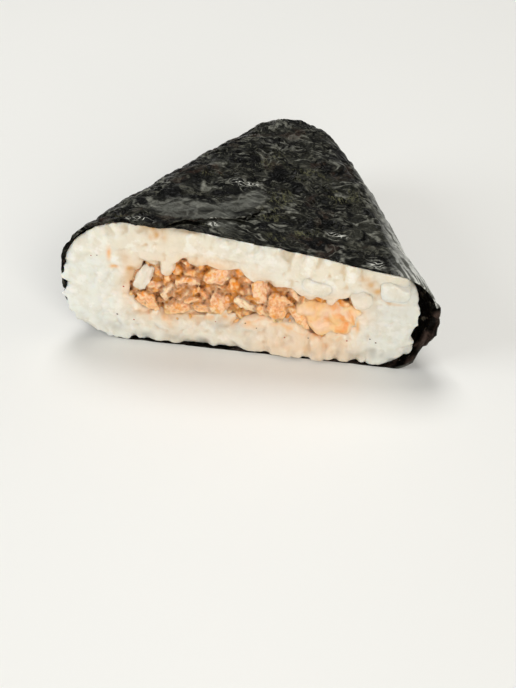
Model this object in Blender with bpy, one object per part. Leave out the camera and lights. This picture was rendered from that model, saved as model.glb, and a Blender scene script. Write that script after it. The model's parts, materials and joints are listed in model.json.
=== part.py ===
"""One cut half of a triangular onigiri: a rice body, a pocket of flaked filling, and a nori wrap.

Run it with: blender --background --python part.py
Metres, +Z up. The half lies on its broad side. The cut faces -Y and the corner points to +Y.
The origin is the bottom centre of the whole half's box.
"""

import math

import bpy
import bmesh
from mathutils import Vector, noise

MM = 0.001

# The whole half, measured over the nori.
CUT_HALF_WIDTH = 33.3 * MM
HEIGHT_MIDDLE = 23.6 * MM  # top of the wrap above its base, half way along the cut
TOP_SLOPE = 0.125  # the top falls this much for each unit towards +X, at the cut
CORNER_SAG = 1.5 * MM  # how much lower the top is at the corner
CROWN = 1.1 * MM  # the top bulges at the cut, except at its left end
CROWN_DEPTH = 12 * MM

# The outline seen from above: two bulging sides, each an arc, and a round corner between them.
SIDE_RADIUS = 202 * MM
SIDE_TURN_AT_CUT = math.radians(15)  # between the side and +Y
SIDE_TURN_AT_CORNER = math.radians(32.5)

# Radii of the section's four corners, (across, up), at the cut and where the shape evens out.
LEFT_BASE = (12 * MM, 8.5 * MM)
LEFT_TOP = (13 * MM, 10.5 * MM)
RIGHT_BASE_AT_CUT = (4.5 * MM, 4 * MM)
RIGHT_TOP_AT_CUT = (4.2 * MM, 4.2 * MM)
RIGHT_BASE_BEHIND = (11 * MM, 8.5 * MM)
RIGHT_TOP_BEHIND = (9 * MM, 7.5 * MM)
EVEN_DEPTH = 28 * MM
NOSE_DEPTH = 11 * MM  # the height closes in over this depth at the corner

# The wrap and the clearance under it.
SHEET = 0.5 * MM
GAP = 0.3 * MM
RICE_INSET = SHEET + GAP
EAR_REACH = 3.6 * MM  # the wrap stands off the rice at the right end of the cut
EAR_DEPTH = 13 * MM
EAR_LOW = 1.5 * MM
EAR_HIGH = 20 * MM
DRAPE = 0.4 * MM  # how far the wrap's top rises over the grains
DRAPE_FROM = 14 * MM  # the rise starts at this height
DRAPE_SCALE = 9 * MM

# Relief of the rice.
GRAIN_SCALE = 4.5 * MM
CUT_RELIEF = 1.4 * MM
SKIN_RELIEF = 0.5 * MM
LIP_REACH = 1.6 * MM  # grains dragged forward along the lower edge of the cut
LIP_MIDDLE = 12 * MM
LIP_HALF_WIDTH = 11 * MM
LIP_HEIGHT = 7 * MM

# The filling: a flat pocket that is thicker on the left and closes before the corner.
FILLING_MIDDLE = 0.6 * MM
FILLING_HALF_WIDTH = 22.6 * MM
FILLING_CENTRE_HEIGHT = 11.9 * MM
FILLING_CENTRE_SLOPE = -0.06
FILLING_HALF_THICKNESS = 5.2 * MM
FILLING_THICKNESS_SLOPE = -0.08
FILLING_DEPTH = 37 * MM
FILLING_FRONT = 0.4 * MM  # how far behind the cut its face lies
FILLING_RELIEF = 0.6 * MM
FILLING_SCALE = 5 * MM
FILLING_BACK = 0.97  # where its back face lies, as a share of its depth, just short of closing
FILLING_BACK_SHARE = 0.4  # its width at the back, as a share of that at the cut
CUTTER_OVERHANG = 6 * MM
FIT = 0.35 * MM  # clearance between the filling and its pocket

# Mesh steps.
ARC_STEPS = 5
RUN_STEPS = 16
BODY_RINGS = 13
NOSE_RINGS = 6
FACE_ROWS = 9
FILLING_STEPS = 32
FILLING_RINGS = 9
FILLING_FACE_RINGS = 4
FILLING_ANGLES = [2 * math.pi * step / FILLING_STEPS for step in range(FILLING_STEPS)]

# Where the side arcs end and the corner arc takes over.
SIDE_CENTRE_X = CUT_HALF_WIDTH - SIDE_RADIUS * math.cos(SIDE_TURN_AT_CUT)
SIDE_CENTRE_Y = -SIDE_RADIUS * math.sin(SIDE_TURN_AT_CUT)
CORNER_RADIUS = (SIDE_CENTRE_X + SIDE_RADIUS * math.cos(SIDE_TURN_AT_CORNER)) / math.cos(SIDE_TURN_AT_CORNER)
CORNER_CENTRE_Y = SIDE_CENTRE_Y + (SIDE_RADIUS - CORNER_RADIUS) * math.sin(SIDE_TURN_AT_CORNER)
DEPTH = CORNER_CENTRE_Y + CORNER_RADIUS


def clear_scene():
    """Start from an empty scene."""
    for old in list(bpy.data.objects):
        bpy.data.objects.remove(old)


def mix(a, b, share):
    """A value between a and b."""
    return a + (b - a) * share


def smooth_step(share):
    """An S-shaped ramp from 0 to 1."""
    t = max(0.0, min(1.0, share))
    return t * t * (3 - 2 * t)


def bumps(x, y, z, scale):
    """Smooth noise from 0 to 1 with bumps of about this scale."""
    return max(0.0, min(1.0, 0.5 + noise.noise(Vector((x, y, z)) / scale)))


def half_width(y, inset):
    """Half the width at depth y, of the outline moved inwards by inset."""
    side = SIDE_RADIUS - inset
    turn_y = SIDE_CENTRE_Y + side * math.sin(SIDE_TURN_AT_CORNER)
    if y < turn_y:
        return SIDE_CENTRE_X + math.sqrt(side**2 - (y - SIDE_CENTRE_Y) ** 2)
    corner = CORNER_RADIUS - inset
    return math.sqrt(max(0.0, corner**2 - (y - CORNER_CENTRE_Y) ** 2))


def top_height(x, y):
    """Height of the wrap's top over its base."""
    share = max(0.0, y) / DEPTH
    ends = smooth_step((x + 17 * MM) / (7 * MM)) * (1 - 0.45 * smooth_step((x - 14 * MM) / (8 * MM)))
    crown = CROWN * ends * (1 - smooth_step(y / CROWN_DEPTH))
    return HEIGHT_MIDDLE + crown - TOP_SLOPE * (1 - 0.6 * share) * x - CORNER_SAG * share


def quarter(centre_x, centre_z, radius_x, radius_z, start):
    """A quarter of an ellipse, anticlockwise from the start angle in degrees."""
    points = []
    for step in range(ARC_STEPS + 1):
        angle = math.radians(start + 90 * step / ARC_STEPS)
        points.append((centre_x + radius_x * math.cos(angle), centre_z + radius_z * math.sin(angle)))
    return points


def corner_radii(at_cut, behind, y, width, height):
    """A corner's radii at depth y, kept inside the section."""
    share = smooth_step(y / EVEN_DEPTH)
    across = min(mix(at_cut[0], behind[0], share), 0.96 * width)
    up = min(mix(at_cut[1], behind[1], share), 0.47 * height)
    return across, up


def section(y, inset):
    """The closed section at depth y as (x, z) points: the lower half from the left, then the upper half."""
    width = half_width(y, inset)
    back = DEPTH - inset - y
    nose = math.sqrt(max(0.0, 1 - (1 - min(1.0, back / NOSE_DEPTH)) ** 2))
    height = top_height(0, y) - 2 * inset
    base = inset + 0.5 * height * (1 - nose)

    def top_at(x):
        full = top_height(x, y) - inset
        return mix(inset + 0.5 * height, full, nose)

    room = nose * height
    left_base = corner_radii(LEFT_BASE, LEFT_BASE, y, width, room)
    left_top = corner_radii(LEFT_TOP, LEFT_TOP, y, width, room)
    right_base = corner_radii(RIGHT_BASE_AT_CUT, RIGHT_BASE_BEHIND, y, width, room)
    right_top = corner_radii(RIGHT_TOP_AT_CUT, RIGHT_TOP_BEHIND, y, width, room)

    lower = quarter(-width + left_base[0], base + left_base[1], *left_base, 180)
    far = quarter(width - right_base[0], base + right_base[1], *right_base, 270)
    lower += straight(lower[-1], far[0]) + far

    right_x = width - right_top[0]
    upper = quarter(right_x, top_at(right_x) - right_top[1], *right_top, 0)
    left_x = -width + left_top[0]
    far = quarter(left_x, top_at(left_x) - left_top[1], *left_top, 90)
    upper += [(x, top_at(x)) for x, _ in straight(upper[-1], far[0])] + far

    left_mid = (-width, 0.5 * (lower[0][1] + upper[-1][1]))
    right_mid = (width, 0.5 * (lower[-1][1] + upper[0][1]))
    return [left_mid] + lower + [right_mid] + upper


def straight(start, end):
    """The points between two others, without the two."""
    return [
        (mix(start[0], end[0], step / RUN_STEPS), mix(start[1], end[1], step / RUN_STEPS))
        for step in range(1, RUN_STEPS)
    ]


def depths(inset):
    """Depths of the rings, from the cut to just short of the corner's tip, closer together on the nose."""
    end = DEPTH - inset
    nose_start = end - NOSE_DEPTH
    body = [nose_start * step / BODY_RINGS for step in range(BODY_RINGS)]
    turns = [0.5 * math.pi * step / NOSE_RINGS for step in range(NOSE_RINGS)]
    nose = [end - NOSE_DEPTH * (1 - math.sin(turn)) for turn in turns]
    return body + nose


def loft(mesh, rings):
    """Join rings of vertices into a skin, and close the far end at a point."""
    for near, far in zip(rings, rings[1:]):
        count = len(near)
        for i in range(count):
            j = (i + 1) % count
            mesh.faces.new((near[i], near[j], far[j], far[i]))


def close_tip(mesh, ring, tip):
    """Close a ring onto one vertex."""
    point = mesh.verts.new(tip)
    for i, vert in enumerate(ring):
        mesh.faces.new((vert, ring[(i + 1) % len(ring)], point))


def body_rings(mesh, inset, shape):
    """The rings of the body, each point passed through shape(x, y, z)."""
    rings = []
    for y in depths(inset):
        rings.append([mesh.verts.new(shape(x, y, z)) for x, z in section(y, inset)])
    height = inset + 0.5 * (top_height(0, DEPTH) - 2 * inset)
    close_tip(mesh, rings[-1], Vector((0, DEPTH - inset, height)))
    loft(mesh, rings)
    return rings


def as_object(name, mesh, material, smooth_angle=50):
    """Turn a bmesh into an object with outward faces and smooth shading."""
    bmesh.ops.recalc_face_normals(mesh, faces=mesh.faces)
    data = bpy.data.meshes.new(name)
    mesh.to_mesh(data)
    mesh.free()
    data.shade_smooth()
    data.set_sharp_from_angle(angle=math.radians(smooth_angle))
    data.materials.append(material)
    made = bpy.data.objects.new(name, data)
    bpy.context.collection.objects.link(made)
    return made


def finish(name, colour, roughness):
    """A plain food finish."""
    material = bpy.data.materials.new(name)
    material.use_nodes = True
    shader = material.node_tree.nodes["Principled BSDF"]
    shader.inputs["Base Color"].default_value = (*colour, 1)
    shader.inputs["Roughness"].default_value = roughness
    shader.inputs["Metallic"].default_value = 0
    return material


def wrap_shape(x, y, z):
    """The wrap's outer surface: draped over the grains on top, standing off at the right end of the cut."""
    if x > 0.3 * CUT_HALF_WIDTH and EAR_LOW < z < EAR_HIGH:
        up = math.sin(math.pi * (z - EAR_LOW) / (EAR_HIGH - EAR_LOW))
        x += EAR_REACH * up * (1 - smooth_step(y / EAR_DEPTH))
    z += DRAPE * bumps(x, y, 0, DRAPE_SCALE) * smooth_step((z - DRAPE_FROM) / (HEIGHT_MIDDLE - DRAPE_FROM))
    return Vector((x, y, z))


def make_nori():
    """One sheet of nori round the half, open only at the cut."""
    mesh = bmesh.new()
    body_rings(mesh, 0, wrap_shape)
    sheet = as_object("nori", mesh, finish("nori_sheet", (0.020, 0.024, 0.016), 0.45))
    thickness = sheet.modifiers.new("sheet", "SOLIDIFY")
    thickness.thickness = SHEET
    thickness.offset = -1
    return sheet


def rice_skin(x, y, z):
    """The rice's surface under the wrap, dented inwards between its grains."""
    dent = SKIN_RELIEF * bumps(x, y, z, GRAIN_SCALE)
    middle = Vector((0, 0.4 * DEPTH, 0.5 * HEIGHT_MIDDLE))
    inwards = middle - Vector((x, y, z))
    if y > 0:
        return Vector((x, y, z)) + inwards.normalized() * dent
    inwards.y = 0
    return Vector((x, y, z)) + inwards.normalized() * dent


def cut_relief(x, z):
    """How far the cut face stands forward of the cut plane, with the dragged grains along its lower edge."""
    forward = CUT_RELIEF * bumps(x, 0, z, GRAIN_SCALE)
    along = max(0.0, 1 - ((x - LIP_MIDDLE) / LIP_HALF_WIDTH) ** 2)
    up = max(0.0, 1 - z / LIP_HEIGHT)
    return forward + LIP_REACH * along * up


def fill_cut(mesh, ring):
    """Close the cut with rows of faces between the ring's lower and upper half, and press the grains in."""
    half = len(ring) // 2
    lower = ring[: half + 1]
    upper = [ring[0]] + ring[: half - 1 : -1]
    columns = []
    for low, high in zip(lower[1:-1], upper[1:-1]):
        column = [low]
        for row in range(1, FACE_ROWS):
            point = low.co.lerp(high.co, row / FACE_ROWS)
            point.y -= cut_relief(point.x, point.z)
            column.append(mesh.verts.new(point))
        column.append(high)
        columns.append(column)
    for left, right in zip(columns, columns[1:]):
        for row in range(FACE_ROWS):
            mesh.faces.new((left[row], right[row], right[row + 1], left[row + 1]))
    for end, column in ((lower[0], columns[0]), (lower[-1], columns[-1])):
        for row in range(FACE_ROWS):
            mesh.faces.new((end, column[row], column[row + 1]))


def make_rice():
    """The rice body, closed at the cut, before its pocket is cut."""
    mesh = bmesh.new()
    rings = body_rings(mesh, RICE_INSET, rice_skin)
    fill_cut(mesh, rings[0])
    return as_object("rice", mesh, finish("rice_grain", (0.80, 0.74, 0.62), 0.4))


def filling_point(angle, y, grow, scale):
    """A point of the filling's outline at depth y. scale moves it towards the outline's middle."""
    share = min(1.0, max(0.0, y) / FILLING_DEPTH)
    narrow = mix(1, FILLING_BACK_SHARE, share)
    cos, sin = math.cos(angle), math.sin(angle)
    across = math.copysign(abs(cos) ** 0.75, cos)
    up = math.copysign(abs(sin) ** 0.8, sin)
    x = FILLING_MIDDLE + FILLING_HALF_WIDTH * narrow * across
    thickness = FILLING_HALF_THICKNESS + FILLING_THICKNESS_SLOPE * x
    thickness *= math.sqrt(max(0.0, 1 - share**3))
    uneven = FILLING_RELIEF * (2 * bumps(x, y, 7 * MM * up, FILLING_SCALE) - 1)
    middle = FILLING_CENTRE_HEIGHT + FILLING_CENTRE_SLOPE * x
    x = FILLING_MIDDLE + (x - FILLING_MIDDLE + grow * across) * scale
    return x, middle + (thickness + uneven + grow) * up * scale


def filling_rings(mesh, grow):
    """The filling's rings from its face at the cut to its back, made larger all round by grow."""
    rings = []
    for step in range(FILLING_RINGS):
        share = step / (FILLING_RINGS - 1)
        y = mix(FILLING_FRONT, FILLING_BACK * FILLING_DEPTH, math.sin(0.5 * math.pi * share))
        set_back = grow * share
        ring = [filling_point(angle, y, grow, 1) for angle in FILLING_ANGLES]
        rings.append([mesh.verts.new((x, y + set_back, z)) for x, z in ring])
    return rings


def make_filling():
    """The flaked filling, uneven all round."""
    mesh = bmesh.new()
    rings = filling_rings(mesh, 0)
    loft(mesh, rings)
    mesh.faces.new(rings[-1])
    outer = rings[0]
    for step in range(1, FILLING_FACE_RINGS):
        scale = 1 - step / FILLING_FACE_RINGS
        ring = []
        for angle in FILLING_ANGLES:
            x, z = filling_point(angle, FILLING_FRONT, 0, scale)
            forward = FILLING_RELIEF * bumps(x, 0, z, FILLING_SCALE)
            ring.append(mesh.verts.new((x, FILLING_FRONT - forward, z)))
        loft(mesh, [outer, ring])
        outer = ring
    tip = Vector((FILLING_MIDDLE, FILLING_FRONT - 0.5 * FILLING_RELIEF, FILLING_CENTRE_HEIGHT))
    close_tip(mesh, outer, tip)
    return as_object("filling", mesh, finish("flaked_filling", (0.62, 0.30, 0.11), 0.5), 40)


def make_cutter():
    """The pocket's cutter: the filling grown by the clearance and run out past the cut."""
    mesh = bmesh.new()
    rings = filling_rings(mesh, FIT)
    ahead = [mesh.verts.new(vert.co - Vector((0, CUTTER_OVERHANG, 0))) for vert in rings[0]]
    loft(mesh, [ahead] + rings)
    mesh.faces.new(ahead)
    mesh.faces.new(rings[-1])
    cutter = as_object("pocket_cutter", mesh, finish("cutter", (0.5, 0.5, 0.5), 0.5))
    cutter.hide_render = True
    cutter.display_type = "WIRE"
    return cutter


def cut_pocket(rice):
    """Cut the filling's pocket into the rice, open at the cut."""
    cutter = make_cutter()
    pocket = rice.modifiers.new("pocket", "BOOLEAN")
    pocket.operation = "DIFFERENCE"
    pocket.object = cutter
    return cutter


def stand_on_origin(pieces, guides):
    """Parent everything to one empty that puts the origin at the bottom centre of the box."""
    bpy.context.view_layer.update()
    corners = [piece.matrix_world @ Vector(corner) for piece in pieces for corner in piece.bound_box]
    lowest = [min(corner[axis] for corner in corners) for axis in range(3)]
    highest = [max(corner[axis] for corner in corners) for axis in range(3)]
    base = bpy.data.objects.new("onigiri_half", None)
    bpy.context.collection.objects.link(base)
    base.location = (-0.5 * (lowest[0] + highest[0]), -0.5 * (lowest[1] + highest[1]), -lowest[2])
    for made in pieces + guides:
        made.parent = base


def main():
    clear_scene()
    nori = make_nori()
    rice = make_rice()
    filling = make_filling()
    cutter = cut_pocket(rice)
    stand_on_origin([nori, rice, filling], [cutter])


main()
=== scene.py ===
# %% [markdown]
# # A cut rice ball, wrapped in nori
#
# The object is one half of a triangular rice ball. A knife has gone through it, so one face shows
# everything inside: sticky white rice round a pocket of flaked meat in an orange sauce. A sheet of
# nori, which is dried seaweed, wraps the rest.
#
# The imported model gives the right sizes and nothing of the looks. Each of its three solids is
# replaced here by what it stands for: grains, flakes, and a thin wrinkled sheet.

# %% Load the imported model
import json
import math
from functools import partial

import bmesh
import bpy
import numpy as np
from mathutils import Matrix, Vector, noise
from mathutils.bvhtree import BVHTree

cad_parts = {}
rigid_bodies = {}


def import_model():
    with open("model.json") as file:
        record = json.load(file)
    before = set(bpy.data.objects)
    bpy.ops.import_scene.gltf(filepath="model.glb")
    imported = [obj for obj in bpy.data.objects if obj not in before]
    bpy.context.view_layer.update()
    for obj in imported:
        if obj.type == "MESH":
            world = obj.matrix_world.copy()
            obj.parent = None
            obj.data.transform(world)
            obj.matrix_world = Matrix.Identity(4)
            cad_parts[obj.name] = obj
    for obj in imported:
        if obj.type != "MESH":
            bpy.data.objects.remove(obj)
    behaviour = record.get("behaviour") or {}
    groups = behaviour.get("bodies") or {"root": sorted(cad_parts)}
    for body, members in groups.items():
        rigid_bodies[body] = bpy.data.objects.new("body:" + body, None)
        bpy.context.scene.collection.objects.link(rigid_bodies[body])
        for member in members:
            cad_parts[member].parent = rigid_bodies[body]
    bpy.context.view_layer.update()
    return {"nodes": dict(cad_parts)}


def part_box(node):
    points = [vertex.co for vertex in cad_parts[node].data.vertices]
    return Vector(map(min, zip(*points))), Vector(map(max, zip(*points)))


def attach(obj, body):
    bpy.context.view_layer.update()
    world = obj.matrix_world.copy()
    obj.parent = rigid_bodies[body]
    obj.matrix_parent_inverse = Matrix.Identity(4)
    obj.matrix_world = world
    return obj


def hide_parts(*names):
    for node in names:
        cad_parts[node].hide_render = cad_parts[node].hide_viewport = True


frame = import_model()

MM = 0.001
print("CAD nodes:", sorted(frame["nodes"]))

# %% [markdown]
# ## Sizes
#
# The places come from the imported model's boxes. The cut lies at the front of the nori, the corner of
# the triangle at its back, and the thick end on the left. The outline seen from above is two bulging
# sides, each an arc of a large circle, with a small round corner between them. The same few numbers
# drive the rice, the filling and the nori, so that they always fit into each other.

# %% Driving sizes
nori_low, nori_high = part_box("nori")
CUT_HALF_WIDTH = 33.3 * MM
MIDDLE_X = nori_low.x + CUT_HALF_WIDTH
CUT_Y = nori_low.y
DEPTH = nori_high.y - nori_low.y

HEIGHT_MIDDLE = 23.6 * MM
TOP_SLOPE = 0.125
CORNER_SAG = 1.5 * MM
SIDE_RADIUS = 202 * MM
SIDE_TURN_AT_CUT = math.radians(15)
SIDE_TURN_AT_CORNER = math.radians(32.5)
NOSE_DEPTH = 11 * MM
EVEN_DEPTH = 28 * MM

SHEET = 0.25 * MM  # real nori is about as thin as this
RICE_INSET = 0.8 * MM
print(f"cut at y = {CUT_Y / MM:.1f} mm, {2 * CUT_HALF_WIDTH / MM:.1f} mm wide, {DEPTH / MM:.1f} mm deep")

# %% [markdown]
# ## The camera
#
# The camera looks down on the cut from a little to the right, close enough for some perspective. It
# is placed from the middle of the cut, so it stays right if the model moves. Depth of field is off.

# %% Camera
CAMERA_FROM_CUT = Vector((42.44, -207.65, 155.6)) * MM
CAMERA_DIRECTION = Vector((-0.14884, 0.79521, -0.58779))
LENS = 73.26  # on a 36 mm sensor


def make_camera():
    """A camera that looks at the cut face and the top."""
    data = bpy.data.cameras.new("view")
    data.sensor_width = 36
    data.lens = LENS
    data.clip_start = 0.01
    data.clip_end = 20
    data.dof.use_dof = False
    camera = bpy.data.objects.new("view", data)
    camera.location = Vector((MIDDLE_X, CUT_Y, 0)) + CAMERA_FROM_CUT
    camera.rotation_euler = CAMERA_DIRECTION.to_track_quat("-Z", "Y").to_euler()
    bpy.context.scene.collection.objects.link(camera)
    bpy.context.scene.camera = camera
    return camera


camera = make_camera()
print("camera", [round(v, 3) for v in camera.location])

# %% [markdown]
# ## Helpers for materials
#
# Every finish here is a Principled shader with a few procedural textures in front of it. Texture
# sizes are in metres, because the textures read Object coordinates and the objects are life size. A
# noise with a scale of 500 has features of about 2 mm.

# %% Material helpers


class NodeMaker:
    """A short way to set, link and join the nodes of a tree."""

    def __init__(self, tree):
        self.nodes = tree.nodes
        self.links = tree.links

    def feed(self, socket, value):
        """Give a socket a plain value, or link another node's socket to it."""
        if isinstance(value, bpy.types.NodeSocket):
            self.links.new(value, socket)
        else:
            socket.default_value = value

    def set(self, node, **sockets):
        """Feed sockets by name: base_color= feeds "Base Color"."""
        for key, value in sockets.items():
            wanted = key.replace("_", " ").lower()
            self.feed(next(s for s in node.inputs if s.name.lower() == wanted and s.enabled), value)

    def sum(self, kind, a, b):
        """One step of arithmetic, such as MULTIPLY."""
        node = self.nodes.new("ShaderNodeMath")
        node.operation = kind
        self.feed(node.inputs[0], a)
        self.feed(node.inputs[1], b)
        return node.outputs[0]


class Finish(NodeMaker):
    """A material with a Principled shader."""

    def __init__(self, name, roughness, **sockets):
        self.material = bpy.data.materials.new(name)
        self.material.use_nodes = True
        super().__init__(self.material.node_tree)
        self.shader = self.nodes["Principled BSDF"]
        self.set(self.shader, roughness=roughness, **sockets)
        self.where = self.nodes.new("ShaderNodeTexCoord").outputs["Object"]

    def noise(self, scale, detail=3, stretch=(1, 1, 1), shift=(0, 0, 0), **sockets):
        """Noise from 0 to 1 at a scale in cycles per metre, stretched along the axes."""
        mapping = self.nodes.new("ShaderNodeMapping")
        self.set(mapping, vector=self.where, scale=stretch, location=shift)
        texture = self.nodes.new("ShaderNodeTexNoise")
        self.set(texture, vector=mapping.outputs[0], scale=scale, detail=detail, **sockets)
        return texture.outputs["Fac"]

    def attribute(self, name):
        """A value stored on the mesh."""
        node = self.nodes.new("ShaderNodeAttribute")
        node.attribute_name = name
        return node.outputs["Fac"]

    def ramp(self, value, low, high, to_low=0.0, to_high=1.0):
        """Stretch a value from one range to another, smoothly, and keep it inside."""
        node = self.nodes.new("ShaderNodeMapRange")
        node.interpolation_type = "SMOOTHSTEP"
        self.set(node, value=value, from_min=low, from_max=high, to_min=to_low, to_max=to_high)
        return node.outputs[0]

    def mix(self, share, a, b):
        """Mix two colours. A colour is a tuple or a socket."""
        node = self.nodes.new("ShaderNodeMix")
        node.data_type = "RGBA"
        for socket, value in ((node.inputs[0], share), (node.inputs[6], a), (node.inputs[7], b)):
            self.feed(socket, (*value, 1) if isinstance(value, tuple) else value)
        return node.outputs[2]

    def bump(self, height, depth, under=None, strength=1.0):
        """Tilt the surface by a height from 0 to 1 that stands for depth metres."""
        node = self.nodes.new("ShaderNodeBump")
        self.set(node, height=height, distance=depth, strength=strength)
        if under is not None:
            self.set(node, normal=under)
        return node.outputs[0]


def colour(red, green, blue):
    """A colour from display values of 0 to 255 as the linear values that a shader takes."""
    def linear(value):
        v = value / 255
        return v / 12.92 if v <= 0.04045 else ((v + 0.055) / 1.055) ** 2.4
    return linear(red), linear(green), linear(blue)


# %% [markdown]
# ## Helpers for meshes
#
# Geometry Nodes place what repeats. A tree is built in code with named inputs. It is put on a small
# carrier mesh, and the evaluated result is copied into a plain mesh, because only plain meshes are
# kept when the model is handed on.

# %% Mesh helpers


def link(made):
    """Put an object in the scene."""
    bpy.context.scene.collection.objects.link(made)
    return made


def mesh_from(name, vertices, faces):
    """A mesh from arrays."""
    data = bpy.data.meshes.new(name)
    data.from_pydata([tuple(v) for v in vertices], [], [tuple(int(i) for i in f) for f in faces])
    data.validate()
    data.update()
    return data


def mesh_of(work, name):
    """End the work on a bmesh and return it as a mesh."""
    data = bpy.data.meshes.new(name)
    work.to_mesh(data)
    work.free()
    return data


def band_faces(count, first, second):
    """Faces between two closed rings of points, which start at these indices."""
    steps = [(i, (i + 1) % count) for i in range(count)]
    return [(first + i, first + j, second + j, second + i) for i, j in steps]


def coordinates(data, kind="co"):
    """The mesh's vertices as an array, one row each, or their normals."""
    flat = np.empty(3 * len(data.vertices), np.float32)
    data.vertices.foreach_get(kind, flat)
    return flat.reshape(-1, 3).astype(float)


def move_vertices(data, places):
    """Write an array of places back to the mesh."""
    data.vertices.foreach_set("co", places.astype(np.float32).ravel())
    data.update()


def store(data, name, values):
    """Keep a value for each vertex on the mesh, or one for all, for its material."""
    attribute = data.attributes.get(name) or data.attributes.new(name, "FLOAT", "POINT")
    attribute.data.foreach_set("value", np.broadcast_to(values, len(data.vertices)).astype(np.float32))


def settle(made, name):
    """Replace an object's modifiers by their result. Returns a new object with a plain mesh."""
    bpy.context.view_layer.update()
    evaluated = made.evaluated_get(bpy.context.evaluated_depsgraph_get())
    data = bpy.data.meshes.new_from_object(evaluated)
    data.name = name
    old = made.data
    bpy.data.objects.remove(made)
    if old.users == 0:
        bpy.data.meshes.remove(old)
    return link(bpy.data.objects.new(name, data))


def outward(data):
    """Turn all faces outwards."""
    work = bmesh.new()
    work.from_mesh(data)
    bmesh.ops.recalc_face_normals(work, faces=work.faces)
    work.to_mesh(data)
    work.free()


def grown(name, carrier, tree, values):
    """Run a Geometry Nodes tree on a mesh with these inputs and keep the plain result."""
    made = link(bpy.data.objects.new(name, carrier))
    modifier = made.modifiers.new("grow", "NODES")
    modifier.node_group = tree
    for item in tree.interface.items_tree:
        if item.in_out == "INPUT" and item.name in values:
            modifier[item.identifier] = values[item.name]
    return settle(made, name)


def fuse(made, name, voxel, smooth):
    """Merge overlapping closed shapes into one soft skin."""
    remesh = made.modifiers.new("fuse", "REMESH")
    remesh.mode = "VOXEL"
    remesh.voxel_size = voxel
    soften = made.modifiers.new("soften", "SMOOTH")
    soften.iterations = smooth
    soften.factor = 0.5
    return settle(made, name)


class Tree(NodeMaker):
    """A Geometry Nodes tree with a geometry in and out."""

    def __init__(self, name, **inputs):
        self.group = bpy.data.node_groups.new(name, "GeometryNodeTree")
        super().__init__(self.group)
        face = self.group.interface
        face.new_socket("Geometry", in_out="INPUT", socket_type="NodeSocketGeometry")
        face.new_socket("Geometry", in_out="OUTPUT", socket_type="NodeSocketGeometry")
        for key, kind in inputs.items():
            face.new_socket(key.replace("_", " "), in_out="INPUT", socket_type="NodeSocket" + kind)
        self.inputs = self.nodes.new("NodeGroupInput").outputs
        self.result = self.nodes.new("NodeGroupOutput").inputs[0]

    def add(self, kind, _settings=(), **sockets):
        """Add a node, set its properties and its sockets by name, and return it."""
        node = self.nodes.new(kind)
        for key, value in dict(_settings).items():
            setattr(node, key, value)
        self.set(node, **sockets)
        return node

    def finish(self, geometry, material):
        """End with real geometry and its material."""
        real = self.add("GeometryNodeRealizeInstances", geometry=geometry)
        painted = self.add("GeometryNodeSetMaterial", geometry=real.outputs[0], material=material)
        self.feed(self.result, painted.outputs[0])
        return self.group


# %% [markdown]
# ## The shape of the half
#
# Cut across at any depth, the half is a rounded slab: flat below, sloping above, with a different
# radius at each corner. Towards the corner of the triangle it gets narrower and its height closes in.
# One function gives that outline at any depth and at any distance below the surface.

# %% Outline of the half
LEFT_BASE = (12 * MM, 8.5 * MM)  # each corner's radius, across and up
LEFT_TOP = (13 * MM, 10.5 * MM)
RIGHT_BASE_AT_CUT = (4.5 * MM, 4 * MM)
RIGHT_TOP_AT_CUT = (4.2 * MM, 4.2 * MM)
RIGHT_BASE_BEHIND = (11 * MM, 8.5 * MM)
RIGHT_TOP_BEHIND = (9 * MM, 7.5 * MM)
CROWN = 1.1 * MM  # the top bulges at the cut, except at its left end
CROWN_DEPTH = 12 * MM

SIDE_CENTRE_X = CUT_HALF_WIDTH - SIDE_RADIUS * math.cos(SIDE_TURN_AT_CUT)
SIDE_CENTRE_Y = -SIDE_RADIUS * math.sin(SIDE_TURN_AT_CUT)
CORNER_RADIUS = (SIDE_CENTRE_X + SIDE_RADIUS * math.cos(SIDE_TURN_AT_CORNER)) / math.cos(SIDE_TURN_AT_CORNER)
CORNER_CENTRE_Y = SIDE_CENTRE_Y + (SIDE_RADIUS - CORNER_RADIUS) * math.sin(SIDE_TURN_AT_CORNER)


def smooth_step(share):
    """An S-shaped ramp from 0 to 1, for numbers and arrays."""
    t = np.clip(share, 0, 1)
    return t * t * (3 - 2 * t)


def half_width(y, inset):
    """Half the width at depth y, of the outline moved inwards by inset."""
    side = SIDE_RADIUS - inset
    if y < SIDE_CENTRE_Y + side * math.sin(SIDE_TURN_AT_CORNER):
        return SIDE_CENTRE_X + math.sqrt(side**2 - (y - SIDE_CENTRE_Y) ** 2)
    return math.sqrt(max(0.0, (CORNER_RADIUS - inset) ** 2 - (y - CORNER_CENTRE_Y) ** 2))


def top_height(x, y):
    """Height of the top over the table."""
    share = np.maximum(0.0, y) / DEPTH
    ends = smooth_step((x + 17 * MM) / (7 * MM)) * (1 - 0.45 * smooth_step((x - 14 * MM) / (8 * MM)))
    crown = CROWN * ends * (1 - smooth_step(y / CROWN_DEPTH))
    return HEIGHT_MIDDLE + crown - TOP_SLOPE * (1 - 0.6 * share) * x - CORNER_SAG * share


def arc(centre, radii, start, steps=12):
    """A quarter of an ellipse, anticlockwise from the start angle in degrees."""
    angles = np.radians(start + 90 * np.arange(steps + 1) / steps)
    return np.stack([centre[0] + radii[0] * np.cos(angles), centre[1] + radii[1] * np.sin(angles)], 1)


def evenly(points, count):
    """The same line through count points at equal distances, without the last one."""
    lengths = np.r_[0, np.cumsum(np.linalg.norm(np.diff(points, axis=0), axis=1))]
    places = np.linspace(0, lengths[-1], count + 1)[:-1]
    return np.stack([np.interp(places, lengths, points[:, axis]) for axis in (0, 1)], 1)


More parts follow.
